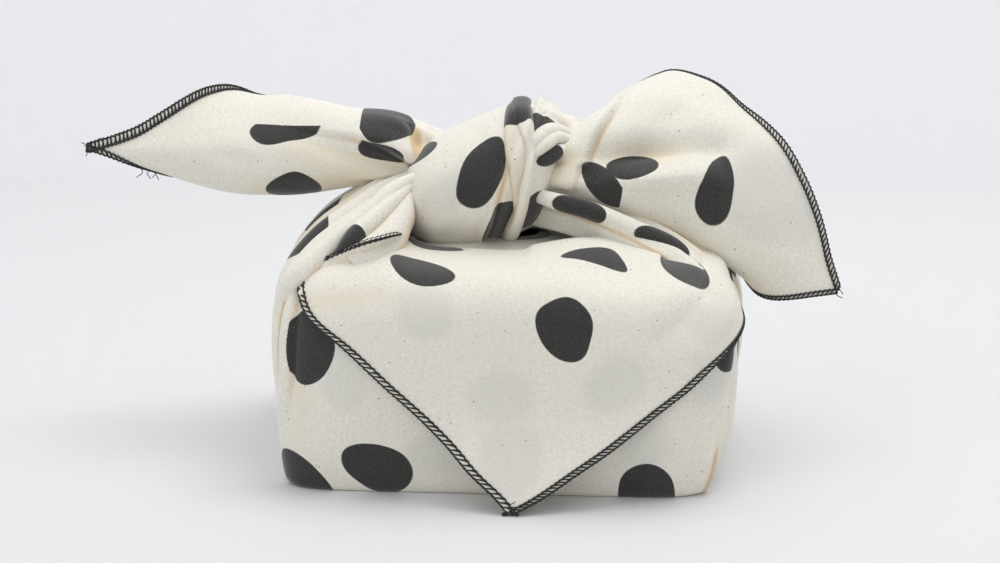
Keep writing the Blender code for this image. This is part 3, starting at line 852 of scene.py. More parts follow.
def free_corner(name, rows, folds, shift, material):
    """A free corner of the cloth, from its tip to the knot."""
    table = named(EAR_COLUMNS, rows, EAR_ROWS)
    middle = joined(table, "x", "y", "z")
    along = directions(middle)
    steps = (EAR_STEPS + 1) // 2
    reach = distances(middle)
    share = np.linspace(-1.0, 1.0, EAR_STEPS)
    grid, u, out = [], [], []
    for k in range(EAR_ROWS):
        back = np.cross(along[k], (0.0, 0.0, 1.0))
        back *= math.copysign(1.0, back[1]) / np.linalg.norm(back)
        lift = np.cross(back, along[k])
        lift *= math.copysign(1.0, lift[2])
        face = math.radians(table["face"][k])
        up = half_section(table["up"][k], -math.radians(table["up_turn"][k]), face, steps)
        low = half_section(table["low"][k], math.radians(table["low_turn"][k]), face + math.pi, steps)
        run = np.concatenate([low[0][::-1], up[0][1:]])
        rise = np.concatenate([low[1][::-1], up[1][1:]])
        angle = np.concatenate([low[2][::-1] - math.pi, up[2][1:]])
        at_root = math.exp(-(((reach[k] - ROOT_PLACE) / ROOT_REACH) ** 2))
        gather = CALM_PLEATS + (1.0 - CALM_PLEATS) * at_root
        wave = gather * table["pleat"][k] * np.cos(share * EAR_PLEATS * math.pi) ** 2 - CLOTH / 2
        normal = np.stack([-np.sin(angle), np.cos(angle)], axis=1)
        section = np.stack([run, rise], axis=1) + normal * wave[:, None]
        grid.append(middle[k] + back * section[:, :1] + lift * section[:, 1:])
        out.append(back * normal[:, :1] + lift * normal[:, 1:])
        u.append(np.where(share < 0, share * table["low"][k], share * table["up"][k]))
    u = np.array(u)
    v = np.repeat(reach[:, None], EAR_STEPS, axis=1)
    # relief also gives the painted shade of the folds' troughs.
    height, fold_shade = relief(u, v, folds)
    calm = np.clip(v / TIP_CALM, 0.0, 1.0)
    hem = np.abs(u[:, -1:] - u) / HEM_REACH
    height += HEM_LIFT * np.exp(-(hem**2)) * np.clip(1.0 - (v - HEM_CALM) / HEM_FADE, 0.0, 1.0) * calm
    grid = np.array(grid) + np.array(out) * (height + uneven(u, v, shift) * calm)[:, :, None]
    cloth_piece(name, grid, (u, v), fold_shade, material)
    return grid


# Threads of the overlock: sides and steps of their tubes, share of their radius that stands off the cloth, how
# far apart a pair of them is at its middle and ends, how far they reach past the rim, how uneven their depth
# and slant are, and radius and steps of a loose end.
THREAD_SIDES = 5
LOOP_STEPS = 9
THREAD_LIFT = 0.7
LOOP_CLOSE = 0.2
LOOP_SPLAY = 0.4
RIM = 0.15
DEPTH_CHANCE = 0.1
SLANT_CHANCE = 0.25
TAIL = 0.2
TAIL_STEPS = 14
# Columns of a sheet that an edge's threads can reach.
EDGE_COLUMNS = 12
# Chains of thread along an overlocked edge: at the pairs' inner ends or else along the rim, side of the
# cloth, how far it swings, its radius beside the thread's, and where its swing starts.
RIM_DEPTH = 0.2
CHAIN_RISE = 0.15
CHAIN_STEPS = 4
CHAINS = (
    (True, 1, 0.3, 1.4, 0),
    (True, -1, 0.3, 1.4, 0.3),
    (False, 1, 0.25, 1.3, 0.5),
    (False, -1, 0.25, 1.3, 0.8),
)


def tube(path, radius, points, faces):
    """Adds a thin tube along a path to the points and faces of a mesh."""
    along = directions(path)
    helper = np.where(np.abs(along[:, 2:]) < 0.8, np.array([[0.0, 0.0, 1.0]]), np.array([[1.0, 0.0, 0.0]]))
    first = np.cross(along, helper)
    first /= np.linalg.norm(first, axis=1)[:, None]
    second = np.cross(along, first)
    turn = np.linspace(0.0, 2 * math.pi, THREAD_SIDES + 1)[:-1]
    start = len(points)
    for k in range(len(path)):
        for a in turn:
            points.append(path[k] + radius * (math.cos(a) * first[k] + math.sin(a) * second[k]))
    for k in range(len(path) - 1):
        for i in range(THREAD_SIDES):
            nxt = (i + 1) % THREAD_SIDES
            here = start + k * THREAD_SIDES
            faces.append((here + i, here + nxt, here + THREAD_SIDES + nxt, here + THREAD_SIDES + i))
    last = start + (len(path) - 1) * THREAD_SIDES
    faces.append(tuple(start + i for i in reversed(range(THREAD_SIDES))))
    faces.append(tuple(last + i for i in range(THREAD_SIDES)))


class Edge:
    """An edge of a sheet: places along it and into the sheet, both measured on the sheet's own surface."""

    def __init__(self, grid, column):
        points = grid if column == 0 else grid[:, ::-1]
        keep = np.concatenate([[True], np.linalg.norm(np.diff(points[:, 0], axis=0), axis=1) > 1e-6])
        self.points = points[keep][:, :EDGE_COLUMNS]
        self.normals = normals(points)[keep][:, :EDGE_COLUMNS]
        steps = np.linalg.norm(np.diff(self.points, axis=1), axis=2)
        self.depth = np.concatenate([np.zeros((len(steps), 1)), np.cumsum(steps, axis=1)], axis=1)
        self.place = distances(self.points[:, 0])

    def on_row(self, row, depth):
        """Points and normals on rows of the sheet at a depth for each, carried on straight past the edge."""
        own = self.depth[row]
        ahead = np.array([np.searchsorted(depths, value, side="right") for depths, value in zip(own, depth)])
        first = np.clip(ahead - 1, 0, EDGE_COLUMNS - 2)
        every = np.arange(len(row))
        span = own[every, first + 1] - own[every, first]
        share = ((depth - own[every, first]) / np.maximum(span, 1e-6))[:, None]
        parts = (values[row] for values in (self.points, self.normals))
        return [part[every, first] * (1 - share) + part[every, first + 1] * share for part in parts]

    def at(self, place, depth, height):
        """Points at places along the edge, some way into the sheet and above it."""
        place, depth, height = np.broadcast_arrays(place, depth, height)
        row = np.clip(np.searchsorted(self.place, place, side="right") - 1, 0, len(self.place) - 2)
        share = ((place - self.place[row]) / (self.place[row + 1] - self.place[row]))[:, None]
        here, after = self.on_row(row, depth), self.on_row(row + 1, depth)
        point, normal = (first * (1 - share) + second * share for first, second in zip(here, after))
        return point + normal * height[:, None]


def overlock(edge, pitch, depth, lean, thread, points, faces, random):
    """Three-thread overlock: slanting pairs of threads round an edge, and chains along it."""
    lift = CLOTH / 2 + thread * THREAD_LIFT
    count = int(edge.place[-1] / pitch)
    pitch = edge.place[-1] / count
    turn = np.linspace(0.0, 1.0, LOOP_STEPS)
    inward = 0.5 + 0.5 * np.cos(turn * 2 * math.pi)
    splay = LOOP_CLOSE + LOOP_SPLAY * (2 * inward - 1) ** 2
    for k in range(count):
        deep = depth * (1.0 + DEPTH_CHANCE * (random.random() - 0.5))
        slant = pitch * (lean + SLANT_CHANCE * (random.random() - 0.5))
        for side in (-1.0, 1.0):
            place = k * pitch + slant * np.sin(turn * math.pi) + side * splay * np.cos(turn * math.pi) ** 2
            inside = deep * inward - RIM * (1.0 - inward)
            tube(edge.at(place, inside, lift * np.cos(turn * math.pi)), thread, points, faces)
    steps = np.linspace(0.0, edge.place[-1], count * CHAIN_STEPS + 1)
    for at_inner_ends, side, wobble, radius, start in CHAINS:
        middle = depth if at_inner_ends else RIM_DEPTH
        swing = np.cos(2 * math.pi * (steps / pitch + start))
        rise = np.abs(np.sin(math.pi * (steps / pitch + start)))
        line = edge.at(steps, middle + wobble * swing, side * (lift + CHAIN_RISE * rise))
        tube(line, radius * thread, points, faces)


def tail(start, way, length, curl, points, faces):
    """A loose thread end: where it starts, which way it runs, how long it is and how far it curls."""
    share = np.linspace(0.0, 1.0, TAIL_STEPS)
    way = np.array(way) / np.linalg.norm(way)
    side = np.cross(way, (0.0, 1.0, 0.2))
    bend = curl * np.sin(share * 1.4 * math.pi)
    tube(np.array(start) + way * (length * share)[:, None] + side * bend[:, None], TAIL, points, faces)


def stitches(name, edges, tails, seed, material):
    """Overlock along the edges of sheets, and loose thread ends."""
    random = np.random.default_rng(seed)
    points, faces = [], []
    for grid, column, *form in edges:
        overlock(Edge(grid, column), *form, points, faces, random)
    for start, way, length, curl in tails:
        tail(start, way, length, curl, points, faces)
    piece = mesh_piece(name, points, faces, material)
    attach(piece, "root")


# Loose thread ends: start, way, length and curl.
LEFT_TAILS = (
    ((-187.5, -6, 137), (-1, 0, 0.2), 4, 0.3),
    ((-186.5, -6, 136), (-0.7, 0, -0.8), 5, -0.5),
    ((-187, -6.5, 137), (-0.9, 0, -0.3), 3, 0.6),
    ((-184, -6.5, 138.5), (0.6, -0.1, 0.7), 3, 0.5),
    ((-165, -4, 126), (-0.3, 0, -1), 4.5, 1),
    ((-161, -4, 125), (-0.2, 0, -1), 3.5, -1.1),
    ((-160, -4, 125), (0.7, 0, -0.8), 5, 0.4),
    ((-159.5, -4, 125), (0.1, 0, -1), 3, 0.8),
)
RIGHT_TAILS = (
    ((146.5, -22, 79.5), (0.9, 0, -0.3), 3.5, 0.7),
    ((146.5, -22.5, 79), (0.6, 0, -0.8), 4, -0.6),
    ((145.5, -22.5, 80.5), (0.9, -0.1, 0.4), 3, 0.9),
)
FLAP_TAILS = (
    ((8.5, -103, 2.5), (0.9, -0.2, 0.6), 4.5, 1),
    ((9, -103, 2), (0.9, -0.2, 0.2), 5, -0.9),
    ((8, -103, 3), (0.3, -0.2, 0.9), 4, 0.9),
)

# Printed spots: middle on the flat cloth (u, v), turn (degrees), half length and half width, how much
# narrower one end is, how far the spot bends, and, where its pattern ends at a fold, which way the straight
# side faces (degrees) and how far it is from the middle. The last columns may be left out.
SPOT_PLACE = ("u", "v")
SPOT_FORM = ("turn", "long", "wide", "egg", "bend", "cut_turn", "cut")
PLAIN_SPOT = {"egg": 0.0, "bend": 0.0, "cut_turn": 0.0, "cut": 99.0}
SPOTS = {
    "body_wrap": (
        (-79.5, 66, 82, 16, 11.8, 0.05, 0.1, 177, 9.6),
        (-84, 5, -50, 18, 10.5, 0.1),
        (-50.8, 14.2, -26, 16.4, 10.8, 0.15, 0.05),
        (64.8, 2.5, 90, 15.6, 12.2, 0.05),
        (105, 69, 60, 13.5, 11, 0.1),
        (14, 156, 0, 14, 5),
        (150, 40, 30, 15, 11, 0.2),
        (-150, 44, 100, 15, 11, 0.2),
        (205, 62, 60, 16, 11, 0.2),
        (-208, 26, 20, 15, 12, 0.2),
        (250, 20, 110, 15, 11, 0.2),
        (-252, 66, 70, 15, 12, 0.2),
    ),
    "front_flap": (
        (-31.8, 112.4, 152, 15.4, 8.8, 0.15, -0.15),
        (42.8, 129, 160, 15.6, 6, 0.05, 1.1),
        (84.6, 112.6, 136, 16, 10, 0.15),
        (-31, 144, 175, 15, 5),
        (30, 82.8, 96, 16, 12, 0.12, -0.1),
    ),
    "knot": (
        (8.5, -8.6, 18, 16.4, 9.6, -0.1, 0.05),
        (27.5, 22, 0, 7, 15),
        (-21, -1, 20, 13.5, 9.5, 0, 0, 289, 6.1),
        (36, -37, 150, 9, 7, 0.1),
        (-17.5, 13, 15, 13.5, 6),
    ),
    "strip": (
        (43, 7, 0, 17.5, 17),
    ),
    "left_ear": (
        (8.6, 88.6, 82, 16.2, 7.4, -0.12, 0, 3, 2.4),
        (16, 132.6, 163, 14.4, 11.4, 0.1, 0, 270, 9.3),
        (-1.6, 134.4, 104, 11.4, 5.4, -0.2, 0, 15, 2.8),
        (-21.5, 93, 90, 11.2, 9.8),
    ),
    "right_ear": (
        (11.8, 102.8, 113, 11.8, 5.8, 0.05),
        (0.6, 113.2, 60, 12.8, 5.8, 0, 0, 270, 8.2),
        (14, 67.6, 10, 16.6, 7.8, -0.42, -0.2),
    ),
    "left_side": (
        (-32, 96, 80, 14, 12, 0.1),
        (4, 104, 60, 14, 9, 0.1),
        (52, 52, 20, 14, 10, 0.1),
        (-30, 40, 110, 14, 10, 0.1),
    ),
    "right_side": (
        (-57, 51, 70, 11, 9, 0.1),
        (-10, 82, 100, 15, 10, 0.1),
        (40, 40, 20, 14, 10, 0.1),
        (8, 20, 60, 14, 10, 0.1),
    ),
    "left_second_fold": (
        (0, 10, 90, 9, 12),
    ),
    "right_low_fold": (
        (-1, 29, 90, 12, 6.5),
        (-1, 68, 90, 12.5, 6.5),
    ),
    "loop_low_fold": (
        (0, 12.5, 90, 8.5, 10),
    ),
}
# Soft grey places where a spot lies under the cloth, in the same columns. Some rows also carry painted
# shade that darkens the front flap's lower part and the right ear.
SHADES = {
    "body_wrap": (
        (-64, 54, 100, 15, 11, 0.1),
        (-23, 22, 10, 16, 10, 0.1),
        (64, 26, 60, 12, 10, 0.1),
        (95, 56, 60, 13, 10, 0.1),
    ),
    "front_flap": (
        (-29, 90, 100, 15, 12, 0.1),
        (51, 57, 40, 15, 11, 0.1),
        # Partly a grey show-through, partly painted shade darkening the flap's lower part.
        (3, 50, 0, 14, 12, 0.1),
        (93, 84, 30, 12, 9, 0.1),
        # Partly a grey show-through, partly painted shade darkening the flap's lower part.
        (8, 24, 90, 17, 14, 0.1),
    ),
    "right_ear": (
        # Painted shade darkening the right ear's face.
        (22, 44, 90, 26, 22),
    ),
    "knot": (
        (2, -23, 60, 16, 8, 0.1),
    ),
}
# Painted warm shade in folds and where a part lies in shade, in the same columns.
SHADE_PATCHES = {
    "body_wrap": (
        (-85, 62, 90, 34, 4.5, 0, 0, 180, 3.6),
        (-96, 80, 70, 11, 2),
        (93, 12, 78, 16, 1.6),
        (0, 96, 0, 44, 5),
    ),
    "front_flap": (
        (-70, 94, 10, 24, 4),
    ),
    "knot": (
        (4, 1, 10, 14, 3),
    ),
    "strip": (
        (12, 2.5, -10, 26, 4),
    ),
    "left_ear": (
        (-5, 122, 98, 32, 9, 0, 0, 12, 4.5),
        (6, 148, 120, 12, 5),
        (-22, 110, 90, 34, 9),
    ),
    "right_ear": (
        (18, 102, 112, 18, 7),
        (4, 134, 80, 12, 8),
        (-16, 92, 84, 40, 9),
    ),
    "left_side": (
        (-6, 104, 70, 30, 20),
    ),
    "right_side": (
        (-26, 84, 80, 40, 16),
    ),
}
CHARCOAL = (0.030, 0.029, 0.027, 1.0)
CHARCOAL_LIGHT = (0.22, 0.215, 0.205, 1.0)
CREAM = (0.90, 0.87, 0.78, 1.0)
CREAM_DARK = (0.70, 0.67, 0.575, 1.0)
# Painted shade: the warm tone put into fold troughs.
PAINTED_FOLD_SHADE = (0.66, 0.45, 0.22, 1.0)
SEED_BROWN = (0.16, 0.10, 0.05, 1.0)
# Grey of a spot showing through, and painted shade on some places.
SHOW_THROUGH_AND_SHADE_GREY = (0.60, 0.60, 0.575, 1.0)
SHADE_SHARE = 0.36
# Painted warm shade for folds and shaded places.
SHADE_PATCH_TONE = (0.80, 0.69, 0.47, 1.0)
SHADE_PATCH_SHARE = 0.40
PATCH_CREAM = (0.74, 0.70, 0.60, 1.0)
PATCH_SHARE = 0.10
# How much of the painted fold shade shows.
PAINTED_FOLD_SHADE_SHARE = 0.7
SEED_SHARE = 0.8
THREAD_DARK = (0.012, 0.012, 0.012, 1.0)
THREAD_LIGHT = (0.035, 0.034, 0.033, 1.0)
# Weave: directions of its threads (degrees), width and length of the coarse and the fine grain, and spacing
# of its faint regular lines.
WEAVE_TURNS = (45.0, -45.0)
COARSE_GRAIN = (0.9, 4.0)
FINE_GRAIN = (0.5, 2.0)
HATCH_PITCH = 1.1
# The lines' wandering: scale, and how far it turns them along their pattern, in radians.
HATCH_SCALE = 0.12
HATCH_WANDER = 6.0
# How much the coarse grain, the fine grain and the lines show in the cloth's tone.
COARSE_SHARE = 0.12
FINE_SHARE = 0.38
HATCH_SHARE = 0.14
# Where a noise or the painted fold shade starts to count and where it counts in full.
GRAIN_RANGE = (0.25, 0.75)
PATCH_RANGE = (0.35, 0.7)
PAINTED_FOLD_SHADE_RANGE = (0.15, 1.2)
SEED_RANGE = (0.085, 0.04)
WORN_RANGE = (0.54, 0.72)
# Scale of the patches, the seeds and the worn grain on a spot, and the share of cells without a seed.
PATCH_SCALE = 0.02
SEED_SCALE = 0.19
WORN_SCALE = 2.0
NO_SEED = 0.4
WORN_SHARE = 0.7
# How a printed edge strays from its form: scale and detail of the noise, and how far it goes.
FRAY = ((0.06, 0.0, 3.0), (1.6, 2.0, 0.35))
# Softness of a spot's, a grey place's and a painted shade patch's edge.
SPOT_SOFT = 0.22
SHADE_SOFT = 4.0
SHADE_PATCH_SOFT = 3.5
SHEEN = 0.25
SPOT_SHEEN = 0.2


class Nodes:
    """Short calls for building a node tree."""

    def __init__(self, tree):
        self.tree = tree

    def give(self, socket, value):
        """Links a socket to another one, or sets its value."""
        if isinstance(value, bpy.types.NodeSocket):
            self.tree.links.new(value, socket)
        else:
            socket.default_value = value

    def add(self, kind, inputs=None, **settings):
        node = self.tree.nodes.new(kind)
        for name, value in settings.items():
            setattr(node, name, value)
        for key, value in (inputs or {}).items():
            self.give(node.inputs[key], value)
        return node

    def math(self, operation, *values):
        return self.add("ShaderNodeMath", dict(enumerate(values)), operation=operation).outputs[0]

    def vectors(self, operation, first, second):
        return self.add("ShaderNodeVectorMath", {0: first, 1: second}, operation=operation).outputs[0]

    def axes(self, vector):
        return self.add("ShaderNodeSeparateXYZ", {0: vector}).outputs

    def ramp(self, value, low, high):
        """0 below low, 1 above high, smooth between."""
        inputs = {"Value": value, "From Min": low, "From Max": high}
        return self.add("ShaderNodeMapRange", inputs, interpolation_type="SMOOTHSTEP").outputs["Result"]

    def mix(self, share, first, second):
        return self.add("ShaderNodeMix", {0: share, 6: first, 7: second}, data_type="RGBA").outputs[2]

    def cover(self, colour, mask, share, other):
        """A colour with another over it, where the mask is."""
        return self.mix(self.math("MULTIPLY", mask, share), colour, other)

    def noise(self, vector, scale, detail=2.0, roughness=0.5, output="Fac"):
        inputs = {"Vector": vector, "Scale": scale, "Detail": detail, "Roughness": roughness}
        return self.add("ShaderNodeTexNoise", inputs).outputs[output]

    def turned(self, vector, angle):
        """Places turned about the flat cloth's upright axis, by an angle in radians."""
        inputs = {"Vector": vector, "Angle": angle}
        return self.add("ShaderNodeVectorRotate", inputs, rotation_type="Z_AXIS").outputs[0]

    def grain(self, vector, width, length):
        """Noise drawn out along both directions of the weave."""
        scale = (1 / width, 1 / length, 1.0)
        turned = (self.turned(vector, math.radians(turn)) for turn in WEAVE_TURNS)
        drawn = (self.vectors("MULTIPLY", place, scale) for place in turned)
        return self.math("ADD", *(self.noise(place, 1.0, 1.0) for place in drawn))

    def hatch(self, vector, turn):
        """Fine regular lines of the weave in one direction, from -1 to 1."""
        across = self.axes(self.turned(vector, math.radians(turn)))[0]
        wander = self.math("MULTIPLY", self.noise(vector, HATCH_SCALE, 1.0), HATCH_WANDER)
        return self.math("SINE", self.math("MULTIPLY_ADD", across, 2 * math.pi / HATCH_PITCH, wander))


def spot_group():
    """Node group: 1 inside a printed spot, 0 outside, for a place on the flat cloth in millimetres."""
    group = bpy.data.node_groups.new("printed_spot", "ShaderNodeTree")
    for name in ("place", "middle"):
        group.interface.new_socket(name, in_out="INPUT", socket_type="NodeSocketVector")
    for name in (*SPOT_FORM, "soft"):
        group.interface.new_socket(name, in_out="INPUT", socket_type="NodeSocketFloat")
    group.interface.new_socket("inside", in_out="OUTPUT", socket_type="NodeSocketFloat")
    n = Nodes(group)
    given = n.add("NodeGroupInput").outputs
    offset = n.vectors("SUBTRACT", given["place"], given["middle"])
    along, across = n.axes(n.turned(offset, n.math("MULTIPLY", given["turn"], -math.pi / 180)))[:2]
    x = n.math("DIVIDE", along, given["long"])
    bow = n.math("MULTIPLY", given["bend"], n.math("MULTIPLY", x, x))
    bent = n.math("SUBTRACT", n.math("DIVIDE", across, given["wide"]), bow)
    y = n.math("DIVIDE", bent, n.math("MULTIPLY_ADD", given["egg"], x, 1.0))
    away = n.math("SQRT", n.math("ADD", n.math("MULTIPLY", x, x), n.math("MULTIPLY", y, y)))
    edge = n.math("DIVIDE", given["soft"], given["wide"])
    inside = n.ramp(away, n.math("ADD", 1.0, edge), n.math("SUBTRACT", 1.0, edge))
    reach = n.axes(n.turned(offset, n.math("MULTIPLY", given["cut_turn"], -math.pi / 180)))[0]
    kept = n.ramp(reach, given["cut"], n.math("SUBTRACT", given["cut"], given["soft"]))
    n.add("NodeGroupOutput", {"inside": n.math("MULTIPLY", inside, kept)})
    return group


SPOT = spot_group()


def spots_mask(n, place, rows, soft):
    """The highest of the spots' masks."""
    mask = None
    for row in rows:
        spot = PLAIN_SPOT | dict(zip(SPOT_PLACE + SPOT_FORM, row))
        inputs = {name: spot[name] for name in SPOT_FORM}
        inputs |= {"place": place, "middle": (spot["u"], spot["v"], 0.0), "soft": soft}
        inside = n.add("ShaderNodeGroup", inputs, node_tree=SPOT).outputs[0]
        mask = inside if mask is None else n.math("MAXIMUM", mask, inside)
    return mask


def new_material(name):
    """A material, short calls for its nodes, and its shader."""
    material = bpy.data.materials.new(name)
    material.use_nodes = True
    return material, Nodes(material.node_tree), material.node_tree.nodes["Principled BSDF"]


def frayed(n, flat):
    """Places of the flat cloth moved a little, slowly and finely, so that a printed edge isn't even."""
    moved = flat
    for scale, detail, size in FRAY:
        shift = n.noise(flat, scale, detail, output="Color")
        scaled = n.vectors("MULTIPLY", n.vectors("SUBTRACT", shift, (0.5, 0.5, 0.5)), (size, size, size))
        moved = n.vectors("ADD", moved, scaled)
    return moved


def calico(name):
    """Unbleached cotton with its printed spots, the grey of what shows through it, and painted shade in its
    folds and shaded places.
    """
    spots, shades, shade_patches = (table.get(name, ()) for table in (SPOTS, SHADES, SHADE_PATCHES))
    material, n, shader = new_material("calico_" + name)
    flat = n.add("ShaderNodeUVMap", uv_map=FLAT).outputs[0]
    fine = n.math("MULTIPLY", n.grain(flat, *FINE_GRAIN), FINE_SHARE)
    slub = n.math("MULTIPLY_ADD", n.grain(flat, *COARSE_GRAIN), COARSE_SHARE, fine)
    hatch = n.math("ADD", *(n.hatch(flat, turn) for turn in WEAVE_TURNS))
    weave = n.math("MULTIPLY_ADD", hatch, HATCH_SHARE, n.ramp(slub, *GRAIN_RANGE))
    colour = n.mix(weave, CREAM_DARK, CREAM)
    patches = n.ramp(n.noise(flat, PATCH_SCALE, 3.0), *PATCH_RANGE)
    colour = n.cover(colour, patches, PATCH_SHARE, PATCH_CREAM)
    # Grey where a spot shows through, and painted shade on some places.
    if shades:
        colour = n.cover(colour, spots_mask(n, flat, shades, SHADE_SOFT), SHADE_SHARE, SHOW_THROUGH_AND_SHADE_GREY)
    # Painted warm shade in folds and shaded places.
    if shade_patches:
        colour = n.cover(colour, spots_mask(n, flat, shade_patches, SHADE_PATCH_SOFT), SHADE_PATCH_SHARE, SHADE_PATCH_TONE)
    # Painted shade: warmer and darker deep in the folds' troughs.
    depth = n.add("ShaderNodeAttribute", attribute_name="fold_shade").outputs["Fac"]
    colour = n.cover(colour, n.ramp(depth, *PAINTED_FOLD_SHADE_RANGE), PAINTED_FOLD_SHADE_SHARE, PAINTED_FOLD_SHADE)
    cells = n.add("ShaderNodeTexVoronoi", {"Vector": flat, "Scale": SEED_SCALE, "Randomness": 1.0})
    chance = n.add("ShaderNodeSeparateColor", {0: cells.outputs["Color"]}).outputs[0]
    near = n.ramp(cells.outputs["Distance"], *SEED_RANGE)
    seed = n.math("MULTIPLY", near, n.math("GREATER_THAN", chance, NO_SEED))
    colour = n.cover(colour, seed, SEED_SHARE, SEED_BROWN)
    sheen = SHEEN
    if spots:
        ink = spots_mask(n, frayed(n, flat), spots, SPOT_SOFT)
        worn = n.ramp(n.noise(flat, WORN_SCALE, 3.0, 0.7), *WORN_RANGE)
        colour = n.mix(ink, colour, n.cover(CHARCOAL, worn, WORN_SHARE, CHARCOAL_LIGHT))
        sheen = n.math("MULTIPLY_ADD", ink, SPOT_SHEEN, SHEEN)
    bump = n.add("ShaderNodeBump", {"Strength": 0.35, "Distance": 0.0004, "Height": slub})
    values = {"Base Color": colour, "Sheen Weight": sheen, "Normal": bump.outputs[0], "Roughness": 0.92,
              "Specular IOR Level": 0.25}
    for key, value in values.items():
        n.give(shader.inputs[key], value)
    return material


def thread_black():
    """The overlock's dark thread."""
    material, n, shader = new_material("overlock_thread")
    place = n.add("ShaderNodeTexCoord").outputs["Object"]
    fibre = n.noise(place, 2500.0, 2.0)
    bump = n.add("ShaderNodeBump", {"Strength": 0.4, "Distance": 0.0001, "Height": fibre})
    n.give(shader.inputs["Base Color"], n.mix(fibre, THREAD_DARK, THREAD_LIGHT))
    n.give(shader.inputs["Normal"], bump.outputs[0])
    n.give(shader.inputs["Roughness"], 0.7)
    return material


def make_camera():
    """The camera, at the photograph's angle."""
    data = bpy.data.cameras.new("camera")
    data.lens = LENS
    data.sensor_width = SENSOR_WIDTH
    camera = bpy.data.objects.new("camera", data)
    bpy.context.scene.collection.objects.link(camera)
    camera.location = CAMERA_PLACE
    turn, drop = math.radians(CAMERA_TURN), math.radians(CAMERA_DROP)
    look = Vector((-math.sin(turn) * math.cos(drop), math.cos(turn) * math.cos(drop), -math.sin(drop)))
    camera.rotation_euler = look.to_track_quat("-Z", "Y").to_euler()
    bpy.context.scene.camera = camera


# Stage: the floor meets a plain wall behind the part, a little unlike the floor in tone. The wall is clear
# from behind, so that the part's back can be looked at.
WALL_Y = 580.0
STAGE_REACH = 4000.0
WALL_HEIGHT = 2500.0
FLOOR_TONE = (0.745, 0.75, 0.75, 1.0)
WALL_TONE = (0.95, 0.955, 0.965, 1.0)


def make_stage():
    """Floor and wall."""
    near, left, right = -STAGE_REACH, -STAGE_REACH, STAGE_REACH
    floor = ((left, near, 0), (right, near, 0), (right, WALL_Y, 0), (left, WALL_Y, 0))
    wall = ((left, WALL_Y, 0), (right, WALL_Y, 0), (right, WALL_Y, WALL_HEIGHT), (left, WALL_Y, WALL_HEIGHT))
    for name, points, tone in (("floor", floor, FLOOR_TONE), ("wall", wall, WALL_TONE)):
        material, n, shader = new_material(name)
        for key, value in (("Base Color", tone), ("Roughness", 0.6), ("Specular IOR Level", 0.2)):
            n.give(shader.inputs[key], value)
        if name == "wall":
            behind = n.add("ShaderNodeNewGeometry").outputs["Backfacing"]
            clear = n.add("ShaderNodeBsdfTransparent").outputs[0]
            seen = n.add("ShaderNodeMixShader", {0: behind, 1: shader.outputs[0], 2: clear}).outputs[0]
            n.give(n.tree.nodes["Material Output"].inputs["Surface"], seen)
        mesh_piece(name, points, [(0, 1, 2, 3)], material)


# Lights: place and target in metres, size in metres, strength in watts and colour.
LIGHTS = {
    "key": ((0.5, 0.2, 1.6), (0.0, 0.0, 0.05), 0.9, 8.0, (1.0, 0.99, 0.97)),
    "fill": ((-1.0, -1.3, 1.1), (0.0, 0.0, 0.08), 1.4, 4.4, (1.0, 1.0, 1.0)),
    "top": ((-0.1, 0.4, 1.7), (0.0, 0.1, 0.0), 1.8, 9.5, (1.0, 1.0, 1.0)),
}
WORLD_TONE = (0.95, 0.96, 1.0, 1.0)
WORLD_STRENGTH = 0.68


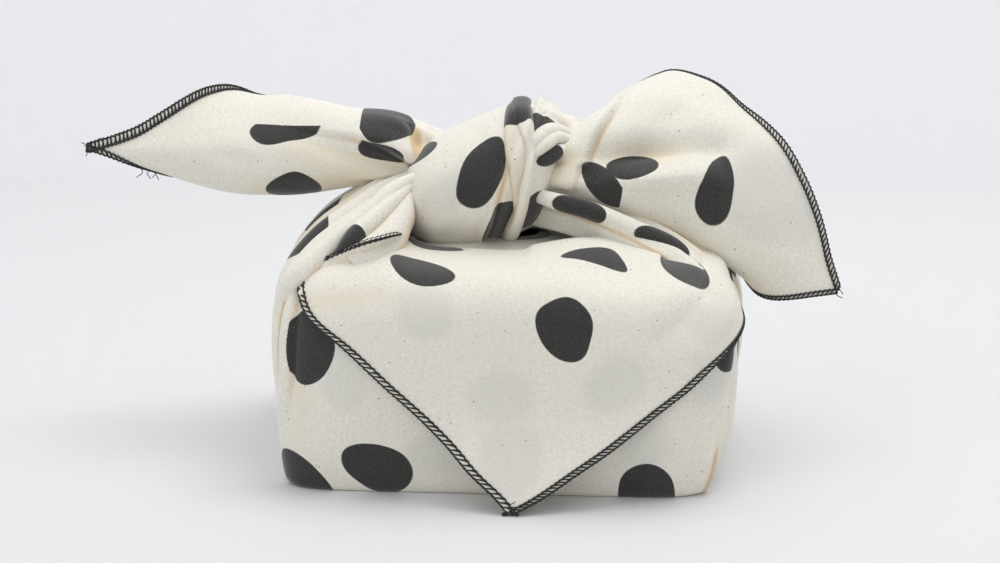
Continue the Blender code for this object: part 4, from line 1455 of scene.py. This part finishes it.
def make_light():
    """Area lights and an even light from all round."""
    for name, (place, target, size, power, colour) in LIGHTS.items():
        data = bpy.data.lights.new(name, "AREA")
        data.size = size
        data.energy = power
        data.color = colour
        light = bpy.data.objects.new(name, data)
        bpy.context.scene.collection.objects.link(light)
        light.location = place
        light.rotation_euler = (Vector(target) - Vector(place)).to_track_quat("-Z", "Y").to_euler()
    world = bpy.data.worlds.new("soft_white")
    world.use_nodes = True
    background = world.node_tree.nodes["Background"]
    background.inputs["Color"].default_value = WORLD_TONE
    background.inputs["Strength"].default_value = WORLD_STRENGTH
    bpy.context.scene.world = world
    bpy.context.scene.view_settings.view_transform = "Standard"


make_camera()
make_stage()
make_light()

thread = thread_black()
body_wrap(calico("body_wrap"))
flap_grid = front_flap(calico("front_flap"))
fold_calico = calico("fold")
gathered_side("left_side", LEFT_STRAP, (), calico("left_side"))
gathered_side("right_side", RIGHT_STRAP, (), calico("right_side"))
for fold_name, (outward, fold_rows) in ROLLS.items():
    rolled_fold(fold_name, outward, fold_rows, calico(fold_name) if fold_name in SPOTS else fold_calico)
knot_calico = calico("knot")
strip_calico = calico("strip")
knot_ring("knot_band", (BAND_INSIDE,) + KNOT_BAND, BAND_FOLDS, 2.0, knot_calico)
knot_ring("knot_loop", KNOT_LOOP, LOOP_FOLDS, 4.0, fold_calico)
for strip_name, strip_rows in STRIPS.items():
    knot_strip(strip_name, strip_rows, strip_calico)
left_grid = free_corner("left_ear", LEFT_EAR, LEFT_EAR_FOLDS, 0.8, calico("left_ear"))
right_grid = free_corner("right_ear", RIGHT_EAR, RIGHT_EAR_FOLDS, 2.6, calico("right_ear"))
turn_grid = flap_turn(fold_calico)

# Overlocked edges: sheet, column of its edge, pitch, depth, lean and radius of thread.
STITCHED = {
    "flap_stitches": (1, FLAP_TAILS, (
        (flap_grid, 0, 2.8, 4.0, 0.4, 0.3),
        (flap_grid, -1, 2.2, 3.9, 0.15, 0.3),
        (turn_grid, -1, 2.4, 1.2, 0.3, 0.24),
    )),
    "left_ear_stitches": (2, LEFT_TAILS, (
        (left_grid, 0, 2.2, 2.2, 0.3, 0.34),
        (left_grid, -1, 1.9, 4.0, -0.2, 0.36),
    )),
    "right_ear_stitches": (3, RIGHT_TAILS, (
        (right_grid, 0, 2.1, 2.6, 0.3, 0.28),
        (right_grid, -1, 2.2, 3.3, 0.35, 0.3),
    )),
}
for stitches_name, (seed, tails, edges) in STITCHED.items():
    stitches(stitches_name, edges, tails, seed, thread)
